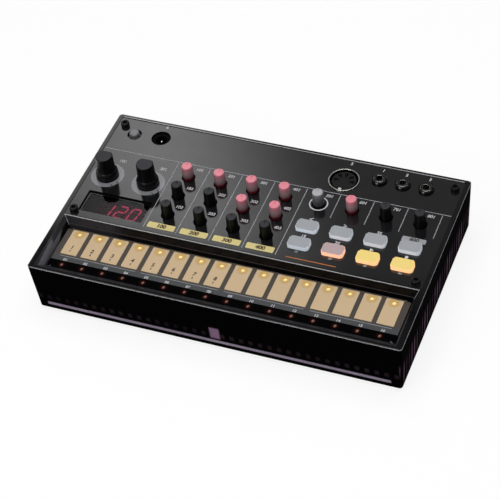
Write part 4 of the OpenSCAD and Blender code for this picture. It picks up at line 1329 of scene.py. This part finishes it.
def reflector(name, centre, width, depth, turn, glow, dim):
    """A level board over the machine that its gloss mirrors, with one bright band across it at an angle."""
    board, look = sheet(name, name, width, depth)
    board.location = centre
    board.visible_camera = False
    across = look.vectors("DOT_PRODUCT", look.point(), (*spoke(turn), 0), output="Value")
    band_rise, band_fall, near_rise = (-0.48, -0.09), (-0.135, 0.13), 0.08
    rise = look.span(across, *band_rise, kind="SMOOTHSTEP")
    fall = look.span(across, *band_fall, 1.0, 0.0, "SMOOTHSTEP")
    near = look.span(look.axes()["Y"], -depth / 2, near_rise - depth / 2, kind="SMOOTHSTEP")
    strength = look.maths("MULTIPLY_ADD", look.maths("MULTIPLY", rise, fall), glow - dim, dim)
    light = look.add("Emission", inputs={"Strength": look.maths("MULTIPLY", strength, near)})
    look.add("OutputMaterial", inputs={"Surface": light.outputs["Emission"]})


def make_lights():
    """A soft lamp overhead, a weaker one in front on the left, and a dim room with a bright board behind."""
    lamp("lamp_overhead", (0.05, 0.0, 1.15), 0.9, 8.5)
    lamp("lamp_front_left", (-0.45, -1.05, 0.9), 0.6, 4.0)
    reflector("reflector_behind", (-0.6, 1.2, 1.232), 0.95, 0.52, 31.0, 2.4, 0.25)
    world = bpy.data.worlds.new("studio")
    bpy.context.scene.world = world
    world.use_nodes = True
    Look(world.node_tree).inputs(world.node_tree.nodes["Background"], {"Color": "#FFFFFF", "Strength": 0.15})


def make_camera():
    """The camera at the photograph's viewing angle."""
    target = mm(-6.481, 8.192, 2.7)
    azimuth, elevation, roll = 26.809, 46.212, -7.974
    distance = 0.911985
    lens = bpy.data.cameras.new("camera")
    lens.lens = 128.64
    lens.sensor_width = 36.0
    lens.clip_start = 0.05
    lens.clip_end = 100.0
    camera = placed("camera", lens)
    turn = Matrix.Identity(4)
    for angle, axis in ((azimuth, "Z"), (90 - elevation, "X"), (roll, "Z")):
        turn @= Matrix.Rotation(math.radians(angle), 4, axis)
    camera.matrix_world = Matrix.Translation(target) @ turn @ Matrix.Translation((0, 0, distance))
    bpy.context.scene.camera = camera
    bpy.context.scene.view_settings.view_transform = "Standard"


OPERATORS = [
    DRUM_OT_stage, DRUM_OT_case, DRUM_OT_panel, DRUM_OT_print, DRUM_OT_display, DRUM_OT_knobs,
    DRUM_OT_buttons, DRUM_OT_sockets, DRUM_OT_touch_strip, DRUM_OT_inside,
]


class DRUM_PT_looks(bpy.types.Panel):
    """Lists the settings and the operators."""

    bl_label = "Drum machine"
    bl_idname = "DRUM_PT_looks"
    bl_space_type = "VIEW_3D"
    bl_region_type = "UI"
    bl_category = "Drum machine"

    def draw(self, context):
        for group in (context.scene.drum_sizes, context.scene.drum_colours):
            for name in group.bl_rna.properties.keys():
                if name not in ("rna_type", "name"):
                    self.layout.prop(group, name)
        for operator in OPERATORS:
            self.layout.operator(operator.bl_idname)


CLASSES = [DrumSizes, DrumColours, *OPERATORS, DRUM_PT_looks]


def register():
    for one in CLASSES:
        bpy.utils.register_class(one)
    bpy.types.Scene.drum_sizes = bpy.props.PointerProperty(type=DrumSizes)
    bpy.types.Scene.drum_colours = bpy.props.PointerProperty(type=DrumColours)


def unregister():
    del bpy.types.Scene.drum_colours
    del bpy.types.Scene.drum_sizes
    for one in reversed(CLASSES):
        bpy.utils.unregister_class(one)


def main():
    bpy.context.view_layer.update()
    register()
    for operator in OPERATORS:
        group, name = operator.bl_idname.split(".")
        getattr(getattr(bpy.ops, group), name)()


if __name__ == "__main__":
    main()
